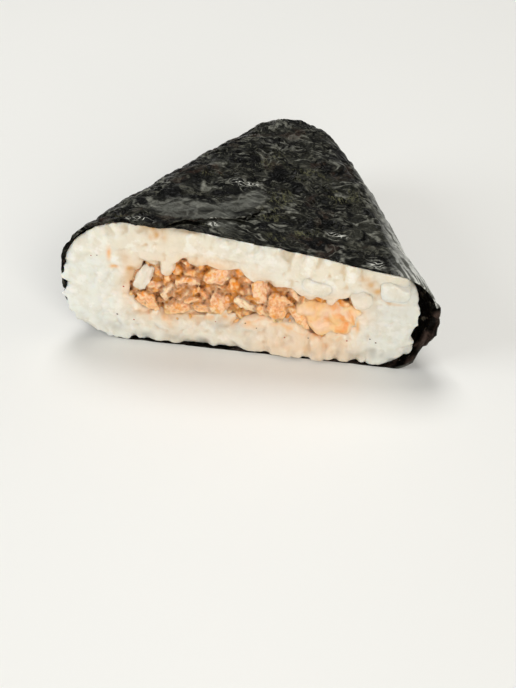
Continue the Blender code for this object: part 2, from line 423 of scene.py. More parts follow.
def section(y, inset, below, above):
    """The outline at depth y as x and z: below points from the left end underneath, above points back."""
    width = half_width(y, inset)
    back = DEPTH - inset - y
    nose = math.sqrt(max(0.0, 1 - (1 - min(1.0, back / NOSE_DEPTH)) ** 2))
    height = top_height(0, y) - 2 * inset
    base = inset + 0.5 * height * (1 - nose)

    def top_at(x):
        return (inset + 0.5 * height) * (1 - nose) + (top_height(x, y) - inset) * nose

    def radii(at_cut, behind):
        share = smooth_step(y / EVEN_DEPTH)
        across = at_cut[0] + (behind[0] - at_cut[0]) * share
        up = at_cut[1] + (behind[1] - at_cut[1]) * share
        return min(across, 0.96 * width), min(up, 0.47 * nose * height)

    left_base = radii(LEFT_BASE, LEFT_BASE)
    left_top = radii(LEFT_TOP, LEFT_TOP)
    right_base = radii(RIGHT_BASE_AT_CUT, RIGHT_BASE_BEHIND)
    right_top = radii(RIGHT_TOP_AT_CUT, RIGHT_TOP_BEHIND)
    right_x = width - right_top[0]
    left_x = -width + left_top[0]
    lower = np.concatenate([
        arc((-width + left_base[0], base + left_base[1]), left_base, 180),
        arc((width - right_base[0], base + right_base[1]), right_base, 270),
    ])
    across = np.linspace(right_x, left_x, 26)[1:-1]
    upper = np.concatenate([
        arc((right_x, top_at(right_x) - right_top[1]), right_top, 0),
        np.stack([across, top_at(across)], 1),
        arc((left_x, top_at(left_x) - left_top[1]), left_top, 90),
    ])
    left_mid = np.array([[-width, 0.5 * (lower[0, 1] + upper[-1, 1])]])
    right_mid = np.array([[width, 0.5 * (lower[-1, 1] + upper[0, 1])]])
    lower = evenly(np.concatenate([left_mid, lower, right_mid]), below)
    upper = evenly(np.concatenate([right_mid, upper, left_mid]), above)
    return np.concatenate([lower, upper])


def in_place(x, y, z):
    """Places measured from the middle of the cut as places in the model."""
    return np.stack([np.asarray(x) + MIDDLE_X, np.asarray(y) + CUT_Y, np.asarray(z)], -1)


print("corner radius", round(CORNER_RADIUS / MM, 1), "mm")

# %% [markdown]
# ## Light and table
#
# Food looks fresh in soft, high light. A bright room all round keeps the shadows pale. Five soft
# panels do the rest: two above and behind the food and one on the right add a faint real sheen to
# the nori and its shoulder, whose wisps and sheens are mostly painted into its finish; a cool one on
# the left gives the rice its faint cool side, and a warm one in front lights the cut. The table is
# plain, pale and matt.

# %% Light and table
ROOM_STRENGTH = 0.13
TABLE_RADIUS = 3  # metres


def panel(name, power, size, place, tint):
    """A square soft light that faces the food."""
    data = bpy.data.lights.new(name, "AREA")
    data.energy = power
    data.size = size
    data.color = tint
    lamp = bpy.data.objects.new(name, data)
    lamp.location = place
    lamp.rotation_euler = (-Vector(place)).to_track_quat("-Z", "Y").to_euler()
    return link(lamp)


def make_room():
    """An even pale surrounding and five panels."""
    world = bpy.data.worlds.new("room")
    world.use_nodes = True
    background = world.node_tree.nodes["Background"]
    background.inputs["Color"].default_value = (1.0, 0.99, 0.975, 1)
    background.inputs["Strength"].default_value = ROOM_STRENGTH
    bpy.context.scene.world = world
    panel("panel_above", 2.3, 0.32, (-0.10, 0.26, 0.62), (1.0, 0.99, 0.97))
    panel("panel_behind", 0.35, 1.0, (0.10, 0.95, 0.60), (0.98, 0.99, 1.0))
    panel("panel_right", 1.8, 0.6, (0.80, 0.55, 0.30), (1.0, 1.0, 0.98))
    panel("panel_left", 1.8, 0.4, (-0.55, -0.25, 0.30), (0.93, 0.97, 1.0))
    panel("panel_front", 3.0, 0.4, (0.30, -0.60, 0.35), (1.0, 0.97, 0.93))
    bpy.context.scene.view_settings.view_transform = "Standard"


def make_table():
    """A large round table top with a faint cast of its own."""
    finish = Finish("table_top", 0.55)
    shade = finish.mix(finish.noise(9, 2), colour(240, 240, 236), colour(244, 243, 239))
    finish.set(finish.shader, base_color=shade)
    work = bmesh.new()
    bmesh.ops.create_circle(work, cap_ends=True, segments=96, radius=TABLE_RADIUS)
    data = mesh_of(work, "table")
    data.materials.append(finish.material)
    table = link(bpy.data.objects.new("table", data))


make_room()
make_table()

# %% [markdown]
# ## The finish of the rice
#
# Cooked rice is white, wet and a little see-through, so light goes in and comes out next to where it
# went in. Subsurface scattering does that. The colour is not even: it is cool and pale at the thick
# end, warmer along the top, and stained by the sauce near the filling. Its creases and hollows get a
# painted warm shade. The stain and the painted shade are worked out for each vertex later and stored
# on the mesh as attributes.

# %% Rice finish


def make_rice_finish():
    """Moist white rice with a stain, painted warm shade in creases and hollows, and grey see-through patches.
    """
    finish = Finish(
        "rice_grain",
        0.34,
        subsurface_weight=0.65,
        subsurface_radius=(1.0, 0.8, 0.6),
        subsurface_scale=1.0 * MM,
        specular_ior_level=0.5,
    )
    cool = colour(236, 237, 229)
    warm = colour(240, 229, 208)
    base = finish.mix(finish.attribute("warmth"), cool, warm)
    patches = finish.ramp(finish.noise(260, 2), 0.42, 0.66)
    base = finish.mix(finish.sum("MULTIPLY", patches, 0.35), base, colour(222, 212, 190))
    clear = finish.ramp(finish.noise(700, 4, distortion=0.6), 0.50, 0.68)
    base = finish.mix(finish.sum("MULTIPLY", clear, 0.24), base, colour(206, 196, 170))
    chalky = finish.ramp(finish.noise(480, 3, shift=(4, 4, 4)), 0.54, 0.66)
    base = finish.mix(finish.sum("MULTIPLY", chalky, 0.6), base, colour(250, 247, 238))
    # painted warm shade in the fine creases
    base = finish.mix(finish.attribute("crease"), base, colour(218, 200, 164))
    base = finish.mix(finish.attribute("grey"), base, colour(178, 178, 170))
    # painted warm shade in the hollows
    base = finish.mix(finish.attribute("hollow"), base, colour(216, 170, 108))
    base = finish.mix(finish.attribute("stain"), base, colour(242, 186, 120))
    fine = finish.noise(1500, 3)
    coarse = finish.noise(520, 2)
    tilt = finish.bump(fine, 0.11 * MM)
    tilt = finish.bump(coarse, 0.16 * MM, tilt)
    finish.set(finish.shader, base_color=base, normal=tilt)
    return finish.material


rice_finish = make_rice_finish()
print("nodes in the rice's finish:", len(rice_finish.node_tree.nodes))

# %% [markdown]
# ## Where the filling shows
#
# On the cut the filling is a flat, uneven lens: blunt and thick on the left, drawn out thin on the
# right. Two smooth curves through a few points each give its upper and its lower edge. Everything
# that depends on the filling asks how far it is from this outline: where grains lie, where the rice
# is stained, and where flakes are strewn.

# %% Outline of the filling
FILLING_TOP = [  # along the cut and up, in millimetres
    (-21.8, 11.2), (-19.0, 16.4), (-13.5, 18.4), (-6.0, 19.2), (1.0, 18.1),
    (8.0, 15.3), (14.0, 13.9), (20.5, 13.9), (23.4, 10.6),
]
FILLING_BASE = [
    (-21.8, 11.2), (-19.5, 7.0), (-13.0, 6.6), (-4.5, 7.5), (1.5, 7.2),
    (4.8, 8.2), (9.0, 7.2), (14.0, 5.5), (20.0, 6.9), (23.4, 10.6),
]


def through(points, count):
    """A smooth line through a few points."""
    knots = np.array(points) * MM
    where = np.linspace(0, len(knots) - 1, count)
    step = np.minimum(where.astype(int), len(knots) - 2)
    t = (where - step)[:, None]
    padded = np.concatenate([knots[:1], knots, knots[-1:]])
    a, b, c, d = (padded[step + k] for k in range(4))
    return 0.5 * (2 * b + (c - a) * t + (2 * a - 5 * b + 4 * c - d) * t**2 + (3 * b - a - 3 * c + d) * t**3)


filling_outline = np.concatenate([through(FILLING_BASE, 61)[:-1], through(FILLING_TOP, 61)[:0:-1]])


def base_of_filling(x):
    """Height of the filling's lower edge."""
    return np.interp(x, *np.array(sorted(FILLING_BASE)).T * MM)


def signed_distance(outline, x, z):
    """Distance of places on the cut from a closed outline, below 0 inside it."""
    points = np.stack([np.ravel(x), np.ravel(z)], 1)
    nearest = np.full(len(points), 1e9)
    inside = np.zeros(len(points), bool)
    for a, b in zip(outline, np.roll(outline, -1, axis=0)):
        along = np.clip(((points - a) @ (b - a)) / ((b - a) @ (b - a)), 0, 1)
        nearest = np.minimum(nearest, np.linalg.norm(points - a - along[:, None] * (b - a), axis=1))
        crosses = (a[1] > points[:, 1]) != (b[1] > points[:, 1])
        height = b[1] - a[1] if b[1] != a[1] else 1e-12
        inside ^= crosses & (points[:, 0] < a[0] + (points[:, 1] - a[1]) * (b[0] - a[0]) / height)
    return np.where(inside, -nearest, nearest).reshape(np.shape(x))


filling_low, filling_high = filling_outline.min(0) / MM, filling_outline.max(0) / MM
print("filling on the cut:", filling_low.round(1), "to", filling_high.round(1))

# %% [markdown]
# ## One grain of rice
#
# A cooked short grain is a plump oval of about 6 by 3 mm, blunter at one end, with a shallow dent
# where the germ was. Three slightly different ones are enough, because each copy is turned and
# scaled on its own.

# %% Grain shapes
GRAIN_LENGTH = 5.6 * MM
GRAIN_WIDTH = 3.0 * MM


def make_grain(seed):
    """One plump grain along X, with a few dozen faces."""
    work = bmesh.new()
    bmesh.ops.create_uvsphere(work, u_segments=10, v_segments=7, radius=0.5)
    for vert in work.verts:
        along, up, across = vert.co.z * 2, vert.co.x * 2, vert.co.y * 2
        blunt = 1 + 0.10 * along
        bend = 0.12 * along * along
        swell = 1 + 0.22 * noise.noise(Vector((along, up, across)) * 1.3 + Vector((seed, 0, 0)))
        vert.co = Vector((
            0.5 * GRAIN_LENGTH * along * swell,
            0.5 * GRAIN_WIDTH * across * blunt * swell,
            0.5 * GRAIN_WIDTH * (0.85 * up * blunt * swell + bend),
        ))
    data = mesh_of(work, f"grain_{seed}")
    data.shade_smooth()
    return data


def shelf(name, meshes):
    """A collection of shapes to pick from. It isn't part of the scene."""
    collection = bpy.data.collections.new(name)
    for data in meshes:
        collection.objects.link(bpy.data.objects.new(data.name, data))
    return collection


def clear_shelf(collection):
    """Remove the shapes when they have been copied."""
    for made in list(collection.objects):
        data = made.data
        bpy.data.objects.remove(made)
        bpy.data.meshes.remove(data)
    bpy.data.collections.remove(collection)


grains = shelf("grains", [make_grain(seed) for seed in (1, 2, 3)])

# %% [markdown]
# ## Strewing
#
# One tree strews both the grains and the flakes. It scatters points over a bed, never closer than a
# given distance, and puts a shape from a shelf on each. The turn is free about two axes and limited
# about the third, since the knife has laid long pieces along the cut.

# %% Strewing tree


def make_strewing_tree():
    """Scatter shapes over a bed of faces."""
    tree = Tree(
        "strewing",
        Shapes="Collection",
        Spacing="Float",
        Smallest="Float",
        Largest="Float",
        Lift="Float",
        Seed="Int",
        Material="Material",
    )
    inputs = tree.inputs
    points = tree.add(
        "GeometryNodeDistributePointsOnFaces",
        {"distribute_method": "POISSON"},
        mesh=inputs["Geometry"],
        distance_min=inputs["Spacing"],
        density_max=1e7,
        seed=inputs["Seed"],
    )
    shapes = tree.add("GeometryNodeCollectionInfo", collection=inputs["Shapes"], separate_children=True)
    low = tree.add("ShaderNodeCombineXYZ", x=0.0, y=0.0, z=tree.sum("MULTIPLY", inputs["Lift"], -1))
    high = tree.add("ShaderNodeCombineXYZ", x=2 * math.pi, y=2 * math.pi, z=inputs["Lift"])
    turn = tree.add(
        "FunctionNodeRandomValue",
        {"data_type": "FLOAT_VECTOR"},
        min=low.outputs[0],
        max=high.outputs[0],
        seed=inputs["Seed"],
    )
    size = tree.add(
        "FunctionNodeRandomValue",
        {"data_type": "FLOAT"},
        min=inputs["Smallest"],
        max=inputs["Largest"],
        seed=inputs["Seed"],
    )
    placed = tree.add(
        "GeometryNodeInstanceOnPoints",
        points=points.outputs["Points"],
        instance=shapes.outputs[0],
        pick_instance=True,
        rotation=turn.outputs[0],
        scale=size.outputs[1],
    )
    tone = tree.add("FunctionNodeRandomValue", {"data_type": "FLOAT"}, seed=inputs["Seed"])
    kept = tree.add(
        "GeometryNodeStoreNamedAttribute",
        {"domain": "INSTANCE", "data_type": "FLOAT"},
        geometry=placed.outputs[0],
        name="tone",
        value=tone.outputs[1],
    )
    return tree.finish(kept.outputs[0], inputs["Material"])


strewing = make_strewing_tree()


def strew(name, bed, shapes, finish, spacing, sizes, lift, seed):
    """Strew shapes over a bed, between the smallest and the largest size, and keep the plain result."""
    return grown(name, bed, strewing, {
        "Shapes": shapes,
        "Spacing": spacing,
        "Smallest": sizes[0],
        "Largest": sizes[1],
        "Lift": lift,
        "Seed": seed,
        "Material": finish,
    })


print("nodes in the tree:", len(strewing.nodes))

# %% [markdown]
# ## The rice at the cut
#
# Sticky rice is neither a smooth block nor a heap of loose beads. The grains keep their shape but
# melt into each other where they touch. So the front of the rice is made in two steps. First a few
# hundred real grains are strewn in two layers over the cut, in front of a block with a pocket for the
# filling. Then a voxel remesh merges them into one skin, and a little smoothing makes them stick.

# %% Beds for strewing
cut_outline = section(0, RICE_INSET, 80, 80)
BED_STEP = 1.0 * MM


def make_bed(name, depths, keep):
    """Flat sheets of small squares across the cut, one at each depth, where keep(x, z) is true."""
    work = bmesh.new()
    columns = np.arange(-CUT_HALF_WIDTH, CUT_HALF_WIDTH, BED_STEP)
    rows = np.arange(0, 1.2 * HEIGHT_MIDDLE, BED_STEP)
    x, z = (values.ravel() for values in np.meshgrid(columns, rows))
    kept = keep(x + 0.5 * BED_STEP, z + 0.5 * BED_STEP)
    for depth in depths:
        for left, low in zip(x[kept], z[kept]):
            right, high = left + BED_STEP, low + BED_STEP
            corners = [(left, low), (right, low), (right, high), (left, high)]
            work.faces.new([work.verts.new(in_place(cx, depth, cz)) for cx, cz in corners])
    return mesh_of(work, name)


GRAIN_DEPTHS = (0.9 * MM, 2.3 * MM)  # the two layers
GRAIN_MARGIN = 1.2 * MM  # grains keep this far inside the wrap
POCKET_MARGIN = 0.9 * MM


def in_rice(x, z):
    """Where grains lie: inside the wrap and clear of the filling."""
    wrapped = signed_distance(cut_outline, x, z) < -GRAIN_MARGIN
    return wrapped & (signed_distance(filling_outline, x, z) > POCKET_MARGIN)


rice_bed = make_bed("rice_bed", GRAIN_DEPTHS, in_rice)
strewn_rice = strew(
    "strewn_rice", rice_bed, grains, rice_finish, 2.0 * MM, (0.85, 1.3), lift=0.4, seed=4
)
print("faces of strewn grains:", len(strewn_rice.data.polygons))

# %% [markdown]
# Some grains are placed one by one, because they give the cut its character: the long one that leans
# into the filling on the left, lobes that hang over the pocket, a round one at the right, and the
# row of grains that the knife has pulled down over the lower edge.

# %% Grains placed one by one

# along the cut, up, forward of the cut, turn from level in degrees, size
HAND_PLACED = [
    (-13.2, 17.6, 0.5, 80, 1.15),
    (-13.3, 17.9, 0.5, 76, 1.0),
    (-8.0, 21.4, 0.6, 4, 1.3),
    (-3.4, 19.3, 0.5, -12, 1.3),
    (2.4, 17.6, 0.6, -50, 1.2),
    (7.5, 17.2, 0.5, -30, 1.3),
    (12.2, 15.4, 0.6, -15, 1.25),
    (17.4, 14.9, 0.6, 8, 1.2),
    (28.0, 19.4, 0.5, 0, 1.25),
    (-20.6, 22.0, 0.5, 15, 1.6),
    (-9.8, 22.4, 0.7, 5, 1.7),
    (-1.5, 21.6, 0.7, -12, 1.6),
    (6.0, 20.6, 0.7, -10, 1.5),
    (3.4, 2.6, 0.9, 60, 0.9),
    (6.6, 3.4, 1.2, 102, 1.25),
    (9.3, 2.3, 1.5, 35, 0.95),
    (11.4, 3.4, 1.3, 78, 1.2),
    (14.6, 2.7, 1.6, 96, 1.1),
    (17.6, 3.2, 1.1, 70, 1.0),
    (19.4, 2.6, 0.9, 108, 1.05),
    (22.6, 3.4, 0.6, 20, 1.1),
]


def place_grains():
    """Copies of the first grain where the list says."""
    work = bmesh.new()
    for along, up, forward, turn, size in HAND_PLACED:
        before = len(work.verts)
        work.from_mesh(grains.objects[0].data)
        work.verts.ensure_lookup_table()
        place = (
            Matrix.Translation(Vector(in_place(along * MM, -forward * MM + 0.5 * GRAIN_WIDTH, up * MM)))
            @ Matrix.Rotation(math.radians(-turn), 4, "Y")
            @ Matrix.Scale(size, 4)
        )
        bmesh.ops.transform(work, matrix=place, verts=work.verts[before:])
    return link(bpy.data.objects.new("placed_rice", mesh_of(work, "placed_rice")))


placed_rice = place_grains()
print("grains placed by hand:", len(HAND_PLACED))

# %% [markdown]
# The block behind the grains closes the gaps between them. It has a hole for the filling right
# through. Grains and block are then merged into one skin.

# %% Block behind the grains
BLOCK_FRONT = 0.7 * MM
BLOCK_BACK = 14 * MM
BLOCK_INSET = 0.8 * MM
POCKET_GROWTH = 0.8 * MM
RICE_VOXEL = 0.29 * MM


def make_block():
    """A slab of rice behind the grains, with a hole for the filling right through."""
    count = 160
    hole = evenly(np.concatenate([filling_outline, filling_outline[:1]]), count)
    middle = hole.mean(0)
    away = hole - middle
    hole = hole + POCKET_GROWTH * away / np.linalg.norm(away, axis=1)[:, None]
    front = section(BLOCK_FRONT, BLOCK_INSET, count // 2, count // 2)
    back = section(BLOCK_BACK, BLOCK_INSET, count // 2, count // 2)
    rings = [(front, BLOCK_FRONT), (hole, BLOCK_FRONT), (hole, BLOCK_BACK), (back, BLOCK_BACK)]
    points = [in_place(ring[:, 0], np.full(count, depth), ring[:, 1]) for ring, depth in rings]
    points = np.concatenate(points)
    faces = []
    for ring in range(4):
        first, second = ring * count, (ring + 1) % 4 * count
        for i in range(count):
            j = (i + 1) % count
            faces.append((first + i, second + i, second + j, first + j))
    data = mesh_from("rice_block", points, faces)
    outward(data)
    return link(bpy.data.objects.new("rice_block", data))


def joined(name, parts):
    """One mesh object from several."""
    work = bmesh.new()
    for part in parts:
        work.from_mesh(part.data)
    for part in parts:
        bpy.data.objects.remove(part)
    return link(bpy.data.objects.new(name, mesh_of(work, name)))


rice = fuse(joined("rice_parts", [strewn_rice, placed_rice, make_block()]), "rice", RICE_VOXEL, 4)
print("rice skin:", len(rice.data.vertices), "vertices")

# %% [markdown]
# The knife has pressed the grains flat, so nothing stands far in front of the cut. The wrap holds the
# sides in, but right at the cut the rice swells out past the wrap's edge in small ragged teeth. Both
# are plain moves of vertices. The same pass works out where creases and hollows lie, by comparing the
# skin with a blurred copy of itself, and stores the values that the rice finish reads, among them the
# painted shade in those creases and hollows.

# %% Shape the rice and colour it
PRESSED = 0.7 * MM  # grains stand at most about this far in front of the cut
PULLED = 2.3 * MM  # and this far along the lower edge on the right
TEETH = 1.4 * MM
TEETH_SCALE = 1.2 * MM
RIGHT_TEETH = 0.5 * MM
RIGHT_HELD_IN = 2.0 * MM  # leaves room for the wrap that stands off at the thin end


def noise_at(places, scale, seed=0.0):
    """Smooth noise from about -1 to 1 at each place."""
    shift = Vector((seed, seed * 1.7, seed * 0.3))
    return np.array([noise.noise(Vector(p) / scale + shift) for p in places]) * 1.6


def from_cut(places):
    """Places in the model as x along the cut, y behind it and z."""
    return places - in_place(0, 0, 0)


def narrowing(y):
    """How much narrower the half is at depth y than at the cut."""
    depths = np.linspace(0, DEPTH, 60)
    widths = np.array([half_width(depth, 0) for depth in depths])
    return np.interp(y, depths, widths) / widths[0]


def blurred(data, places, rounds):
    """The mesh's vertices after each has moved to the mean of its neighbours, some rounds long."""
    edges = np.empty(2 * len(data.edges), np.int64)
    data.edges.foreach_get("vertices", edges)
    a, b = edges.reshape(-1, 2).T
    both, other = np.r_[a, b], np.r_[b, a]
    count = np.bincount(both, minlength=len(places))[:, None]
    for _ in range(rounds):
        total = np.stack([np.bincount(both, places[other, axis], len(places)) for axis in range(3)], 1)
        places = total / count
    return places


def dents(data, places, rounds):
    """How far each place lies below a blurred copy of the skin."""
    moves = blurred(data, places, rounds) - places
    return np.einsum("ij,ij->i", moves, coordinates(data, "normal"))


def roughen(data, *layers):
    """Move the skin along its normals by noises, each with a depth, a scale and a seed."""
    places = coordinates(data)
    height = sum(depth * noise_at(places, scale, seed) for depth, scale, seed in layers)
    move_vertices(data, places + coordinates(data, "normal") * height[:, None])


def press_rice(data):
    """Flatten the cut, keep the rice inside the wrap, and let it swell out in teeth at the cut."""
    x, y, z = from_cut(coordinates(data)).T
    lift = np.exp(-(((x - 17.3 * MM) / (1.7 * MM)) ** 2) - ((z - 12.4 * MM) / (1.7 * MM)) ** 2)
    z = z + 1.3 * MM * lift  # a grain that hung too far over the filling
    pulled = smooth_step(1 - np.abs(x - 12 * MM) / (14 * MM)) * smooth_step(1.6 - z / (7 * MM))
    limit = PRESSED + (PULLED - PRESSED) * pulled
    y = np.where(y < 0, -limit * np.tanh(-y / limit), y)
    lower = 0.33 + 0.67 * smooth_step((12 * MM - z) / (7 * MM))
    x = x - RIGHT_HELD_IN * smooth_step((x - 20 * MM) / (11 * MM)) * lower

    depth = np.maximum(y, 0)
    scale = narrowing(depth)
    sunk = (top_height(x, 0) - top_height(x, depth)) * smooth_step((z - 8 * MM) / (10 * MM))

    def beyond(px, pz):
        return signed_distance(cut_outline, px / scale, pz + sunk)

    step = 0.1 * MM
    out = beyond(x, z)
    slope_x = (beyond(x + step, z) - out) / step
    slope_z = (beyond(x, z + step) - out) / step
    along = 11 * MM * np.arctan2(z - 11 * MM, -x - 20 * MM)
    rays = np.stack([along, y, 0.3 * out], 1)
    teeth = noise_at(rays, TEETH_SCALE, 3) + 0.5 * noise_at(rays, 0.5 * TEETH_SCALE, 5)
    end = smooth_step((-x - 14 * MM) / (10 * MM))
    front = smooth_step((1.1 * MM - y) / (0.8 * MM))
    top = smooth_step((z - 16 * MM) / (5 * MM)) * smooth_step((x + 24 * MM) / (8 * MM))
    low = smooth_step((19 * MM - z) / (10 * MM))
    spill = TEETH * end * (0.35 + 0.65 * low) * np.clip(0.5 + 0.35 * teeth, 0, 1) * front
    bulge = smooth_step((x - 29 * MM) / (3 * MM)) * np.exp(-(((z - 12.5 * MM) / (6 * MM)) ** 2))
    side = np.stack([z, y, 0 * z], 1)
    uneven = noise_at(side, 1.3 * MM, 51) + 0.6 * noise_at(side, 0.6 * MM, 52)
    spill = spill + RIGHT_TEETH * bulge * np.clip(0.55 + 0.4 * uneven, 0, 1) * front
    allowed = 0.2 * MM - 0.5 * MM * smooth_step((y - 1 * MM) / (3 * MM)) + 0.25 * MM * top * front + spill
    grow = (0.9 * MM + spill) * smooth_step(1 + out / (1.6 * MM))
    push = np.maximum(out + grow - allowed, 0)
    x = x + slope_x * (grow - push)
    z = z + slope_z * (grow - push)
    lowest = 0.35 * MM + 0.15 * MM * noise_at(np.stack([x, y, 0 * z], 1), 2.5 * MM, 21) * (1 - pulled)
    z = np.maximum(z, lowest)
    move_vertices(data, in_place(x, y, z))


# Marks on the cut: along it, up, half width, half height in millimetres, and the amount.
# The first list is painted warm shade in dents of the cut.
HOLLOW_SHADES = [
    (-15.6, 25.4, 2.2, 0.9, 1.0),
    (-14.4, 24.2, 1.1, 1.4, 1.0),
    (-16.0, 23.5, 0.8, 0.8, 0.6),
    (-20.2, 16.3, 0.8, 0.7, 1.0),
    (-21.0, 18.4, 0.9, 1.4, 0.35),
    (-19.9, 14.4, 0.8, 2.4, 0.5),
    (22.9, 18.9, 0.9, 0.6, 0.7),
    (24.0, 17.8, 1.2, 0.8, 0.8),
    (25.2, 16.9, 1.2, 0.9, 0.9),
    (26.4, 16.4, 0.7, 1.1, 1.0),
    (24.9, 15.0, 0.5, 1.3, 0.5),
    (27.5, 14.6, 0.5, 0.3, 0.9),
    (28.9, 14.5, 1.4, 0.2, 0.5),
    (-9.0, 25.0, 2.0, 0.3, 0.5),
    (10.0, 22.6, 3.0, 0.3, 0.4),
]
STAINS = [
    (-24.0, 19.2, 0.4, 1.3, 0.8),
    (-23.3, 16.4, 0.8, 0.4, 0.9),
    (-19.5, 12.0, 0.7, 2.2, 0.5),
    (21.9, 12.2, 0.5, 1.2, 0.8),
    (22.0, 8.8, 0.4, 1.8, 0.9),
    (9.4, 2.6, 2.2, 1.2, 0.4),
    (12.6, 2.2, 1.6, 1.2, 0.4),
]
GREYS = [
    (-3.0, 5.6, 3.2, 1.4, 0.5),
    (25.6, 3.2, 1.6, 1.3, 0.8),
    (28.6, 6.8, 2.4, 3.4, 0.22),
    (30.4, 16.0, 1.6, 3.0, 0.25),
    (24.4, 7.0, 1.4, 2.6, 0.18),
    (29.0, 1.9, 2.0, 0.7, 0.9),
    (14.6, 2.0, 1.2, 1.2, 0.5),
    (18.6, 2.6, 1.0, 1.4, 0.6),
    (22.6, 2.4, 1.2, 1.2, 0.5),
    (-12.8, 2.0, 1.4, 0.9, 0.7),
    (-10.4, 0.8, 1.2, 0.8, 0.8),
    (-18.4, 1.6, 2.0, 0.8, 0.6),
    (-23.4, 2.8, 2.0, 0.8, 0.4),
]


def dabs(marks, x, z, wobble):
    """Soft uneven spots on the cut, from a list."""
    total = np.zeros(len(x))
    for along, up, wide, high, amount in marks:
        away = ((x / MM - along) / wide) ** 2 + ((z / MM - up) / high) ** 2
        total = np.maximum(total, amount * np.exp(-0.8 * away) * np.clip(0.9 + 0.7 * wobble, 0.25, 1.1))
    return np.minimum(total, 1)


def stain_of(places, mottle):
    """How much sauce the rice has taken up: close to the filling, behind it, and dragged below it."""
    x, y, z = from_cut(places).T
    out = signed_distance(filling_outline, x, z)
    base = base_of_filling(x)
    below = np.clip(base - z, 0, None)
    under = (np.abs(x) < 22 * MM) & (z < base)
    soaked = 0.75 * np.exp(-below / (0.9 * MM)) * np.clip(0.55 + 0.8 * noise_at(places, 0.9 * MM, 61), 0, 1)
    streak = noise_at(np.stack([x, 0 * x, 0.15 * z], 1), 2.2 * MM, 8)
    dragged = np.where(under, np.exp(-below / (5 * MM)) * np.clip(0.35 + streak, 0, 1), 0)
    close = np.exp(-np.maximum(out, 0) / (1.3 * MM))
    deep = smooth_step((y - 1.5 * MM) / (3 * MM)) * (out < 2 * MM)
    right_low = smooth_step((x + 2 * MM) / (8 * MM)) * smooth_step(1.5 - z / (5 * MM))
    right_low = right_low * smooth_step((26 * MM - x) / (8 * MM))
    spots = np.clip(1.6 * noise_at(places, 1.3 * MM, 14) - 0.1, 0, 1)
    spots = spots * np.exp(-np.abs(z - base) / (2.0 * MM)) * (np.abs(x) < 21 * MM)
    beside = np.exp(-(((x + 19.5 * MM) / (2.2 * MM)) ** 2) - ((z - 15 * MM) / (5 * MM)) ** 2)
    stain = 0.45 * spots + 0.2 * beside * (0.6 + mottle) + 0.4 * close * (0.3 + 0.9 * mottle)
    stain = stain + 0.2 * dragged + 0.8 * deep + 0.24 * right_low
    return np.maximum(np.clip(stain, 0, 1), np.where(under, soaked, 0))


def colour_rice(data):
    """Store where the rice is stained, warm or grey, and its painted shade in creases and hollows."""
    places = coordinates(data)
    x, _, z = from_cut(places).T
    mottle = 0.5 + 0.5 * noise_at(places, 4 * MM, 1)
    wobble = noise_at(places, 1.4 * MM, 41)
    top = smooth_step((z - 15 * MM) / (6 * MM))
    whiter = top * np.exp(-(((x - 3 * MM) / (8 * MM)) ** 2))
    creased = 0.18 + 0.37 * smooth_step((z - 12 * MM) / (5 * MM)) * smooth_step((x + 26 * MM) / (12 * MM))
    # painted shade in the fine creases between grains
    fine = smooth_step(dents(data, places, 4) / (0.10 * MM))
    store(data, "crease", fine * creased * (1 - 0.6 * whiter))
    store(data, "stain", np.maximum(stain_of(places, mottle), dabs(STAINS, x, z, wobble)))
    cool = smooth_step((x - 18 * MM) / (8 * MM)) * (1 - top)
    warmth = 0.05 + 0.5 * smooth_step((x + 30 * MM) / (22 * MM)) + 0.4 * top - 0.4 * cool - 0.6 * whiter
    store(data, "warmth", np.clip(warmth, 0, 1))
    patch = np.clip(noise_at(places, 3.5 * MM, 12) - 0.1, 0, 1)
    low = 0.9 * smooth_step(1.4 - z / (5 * MM)) * patch
    right = 0.16 * smooth_step((x - 20 * MM) / (7 * MM)) * (0.6 + mottle)
    store(data, "grey", np.maximum(np.maximum(low, right), dabs(GREYS, x, z, wobble)))
    # painted warm shade in the wider hollows and in the listed ones
    hollow = 0.45 * smooth_step(dents(data, places, 14) / (0.25 * MM)) * np.clip(0.15 + 0.8 * mottle, 0, 1)
    hollow = hollow * smooth_step((x + 26 * MM) / (10 * MM)) * (1 - 0.8 * whiter)
    store(data, "hollow", np.maximum(hollow, dabs(HOLLOW_SHADES, x, z, wobble)))


def soften_ends(data):
    """Towards both ends the grains are pressed into a smoother mass."""
    places = coordinates(data)
    x, _, z = from_cut(places).T
    right = 0.8 * smooth_step((x - 19 * MM) / (6 * MM))
    left = 0.55 * smooth_step((-x - 20 * MM) / (6 * MM))
    share = np.maximum(right, left) * smooth_step((z + 1 * MM) / (5 * MM))
    move_vertices(data, places + share[:, None] * (blurred(data, places, 10) - places))


roughen(rice.data, (0.20 * MM, 2.2 * MM, 31), (0.08 * MM, 1.0 * MM, 32))
soften_ends(rice.data)
press_rice(rice.data)
colour_rice(rice.data)
rice.data.shade_smooth()
rice.data.materials.clear()
rice.data.materials.append(rice_finish)
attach(rice, "root")
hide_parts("rice")
rice_places = coordinates(rice.data) / MM
print("rice box:", rice_places.min(0).round(1), rice_places.max(0).round(1))

# %% [markdown]
# ## The rice behind
#
# Behind the front block nobody sees the rice, but the half should not be hollow. The back of the
# packed rice solid is kept, with its pocket: a copy is cut across and its open end is filled.

# %% Back of the rice
CORE_OVERLAP = 1.0 * MM
CORE_SHRINK = 0.45 * MM  # keeps it clear of the wrinkles in the wrap


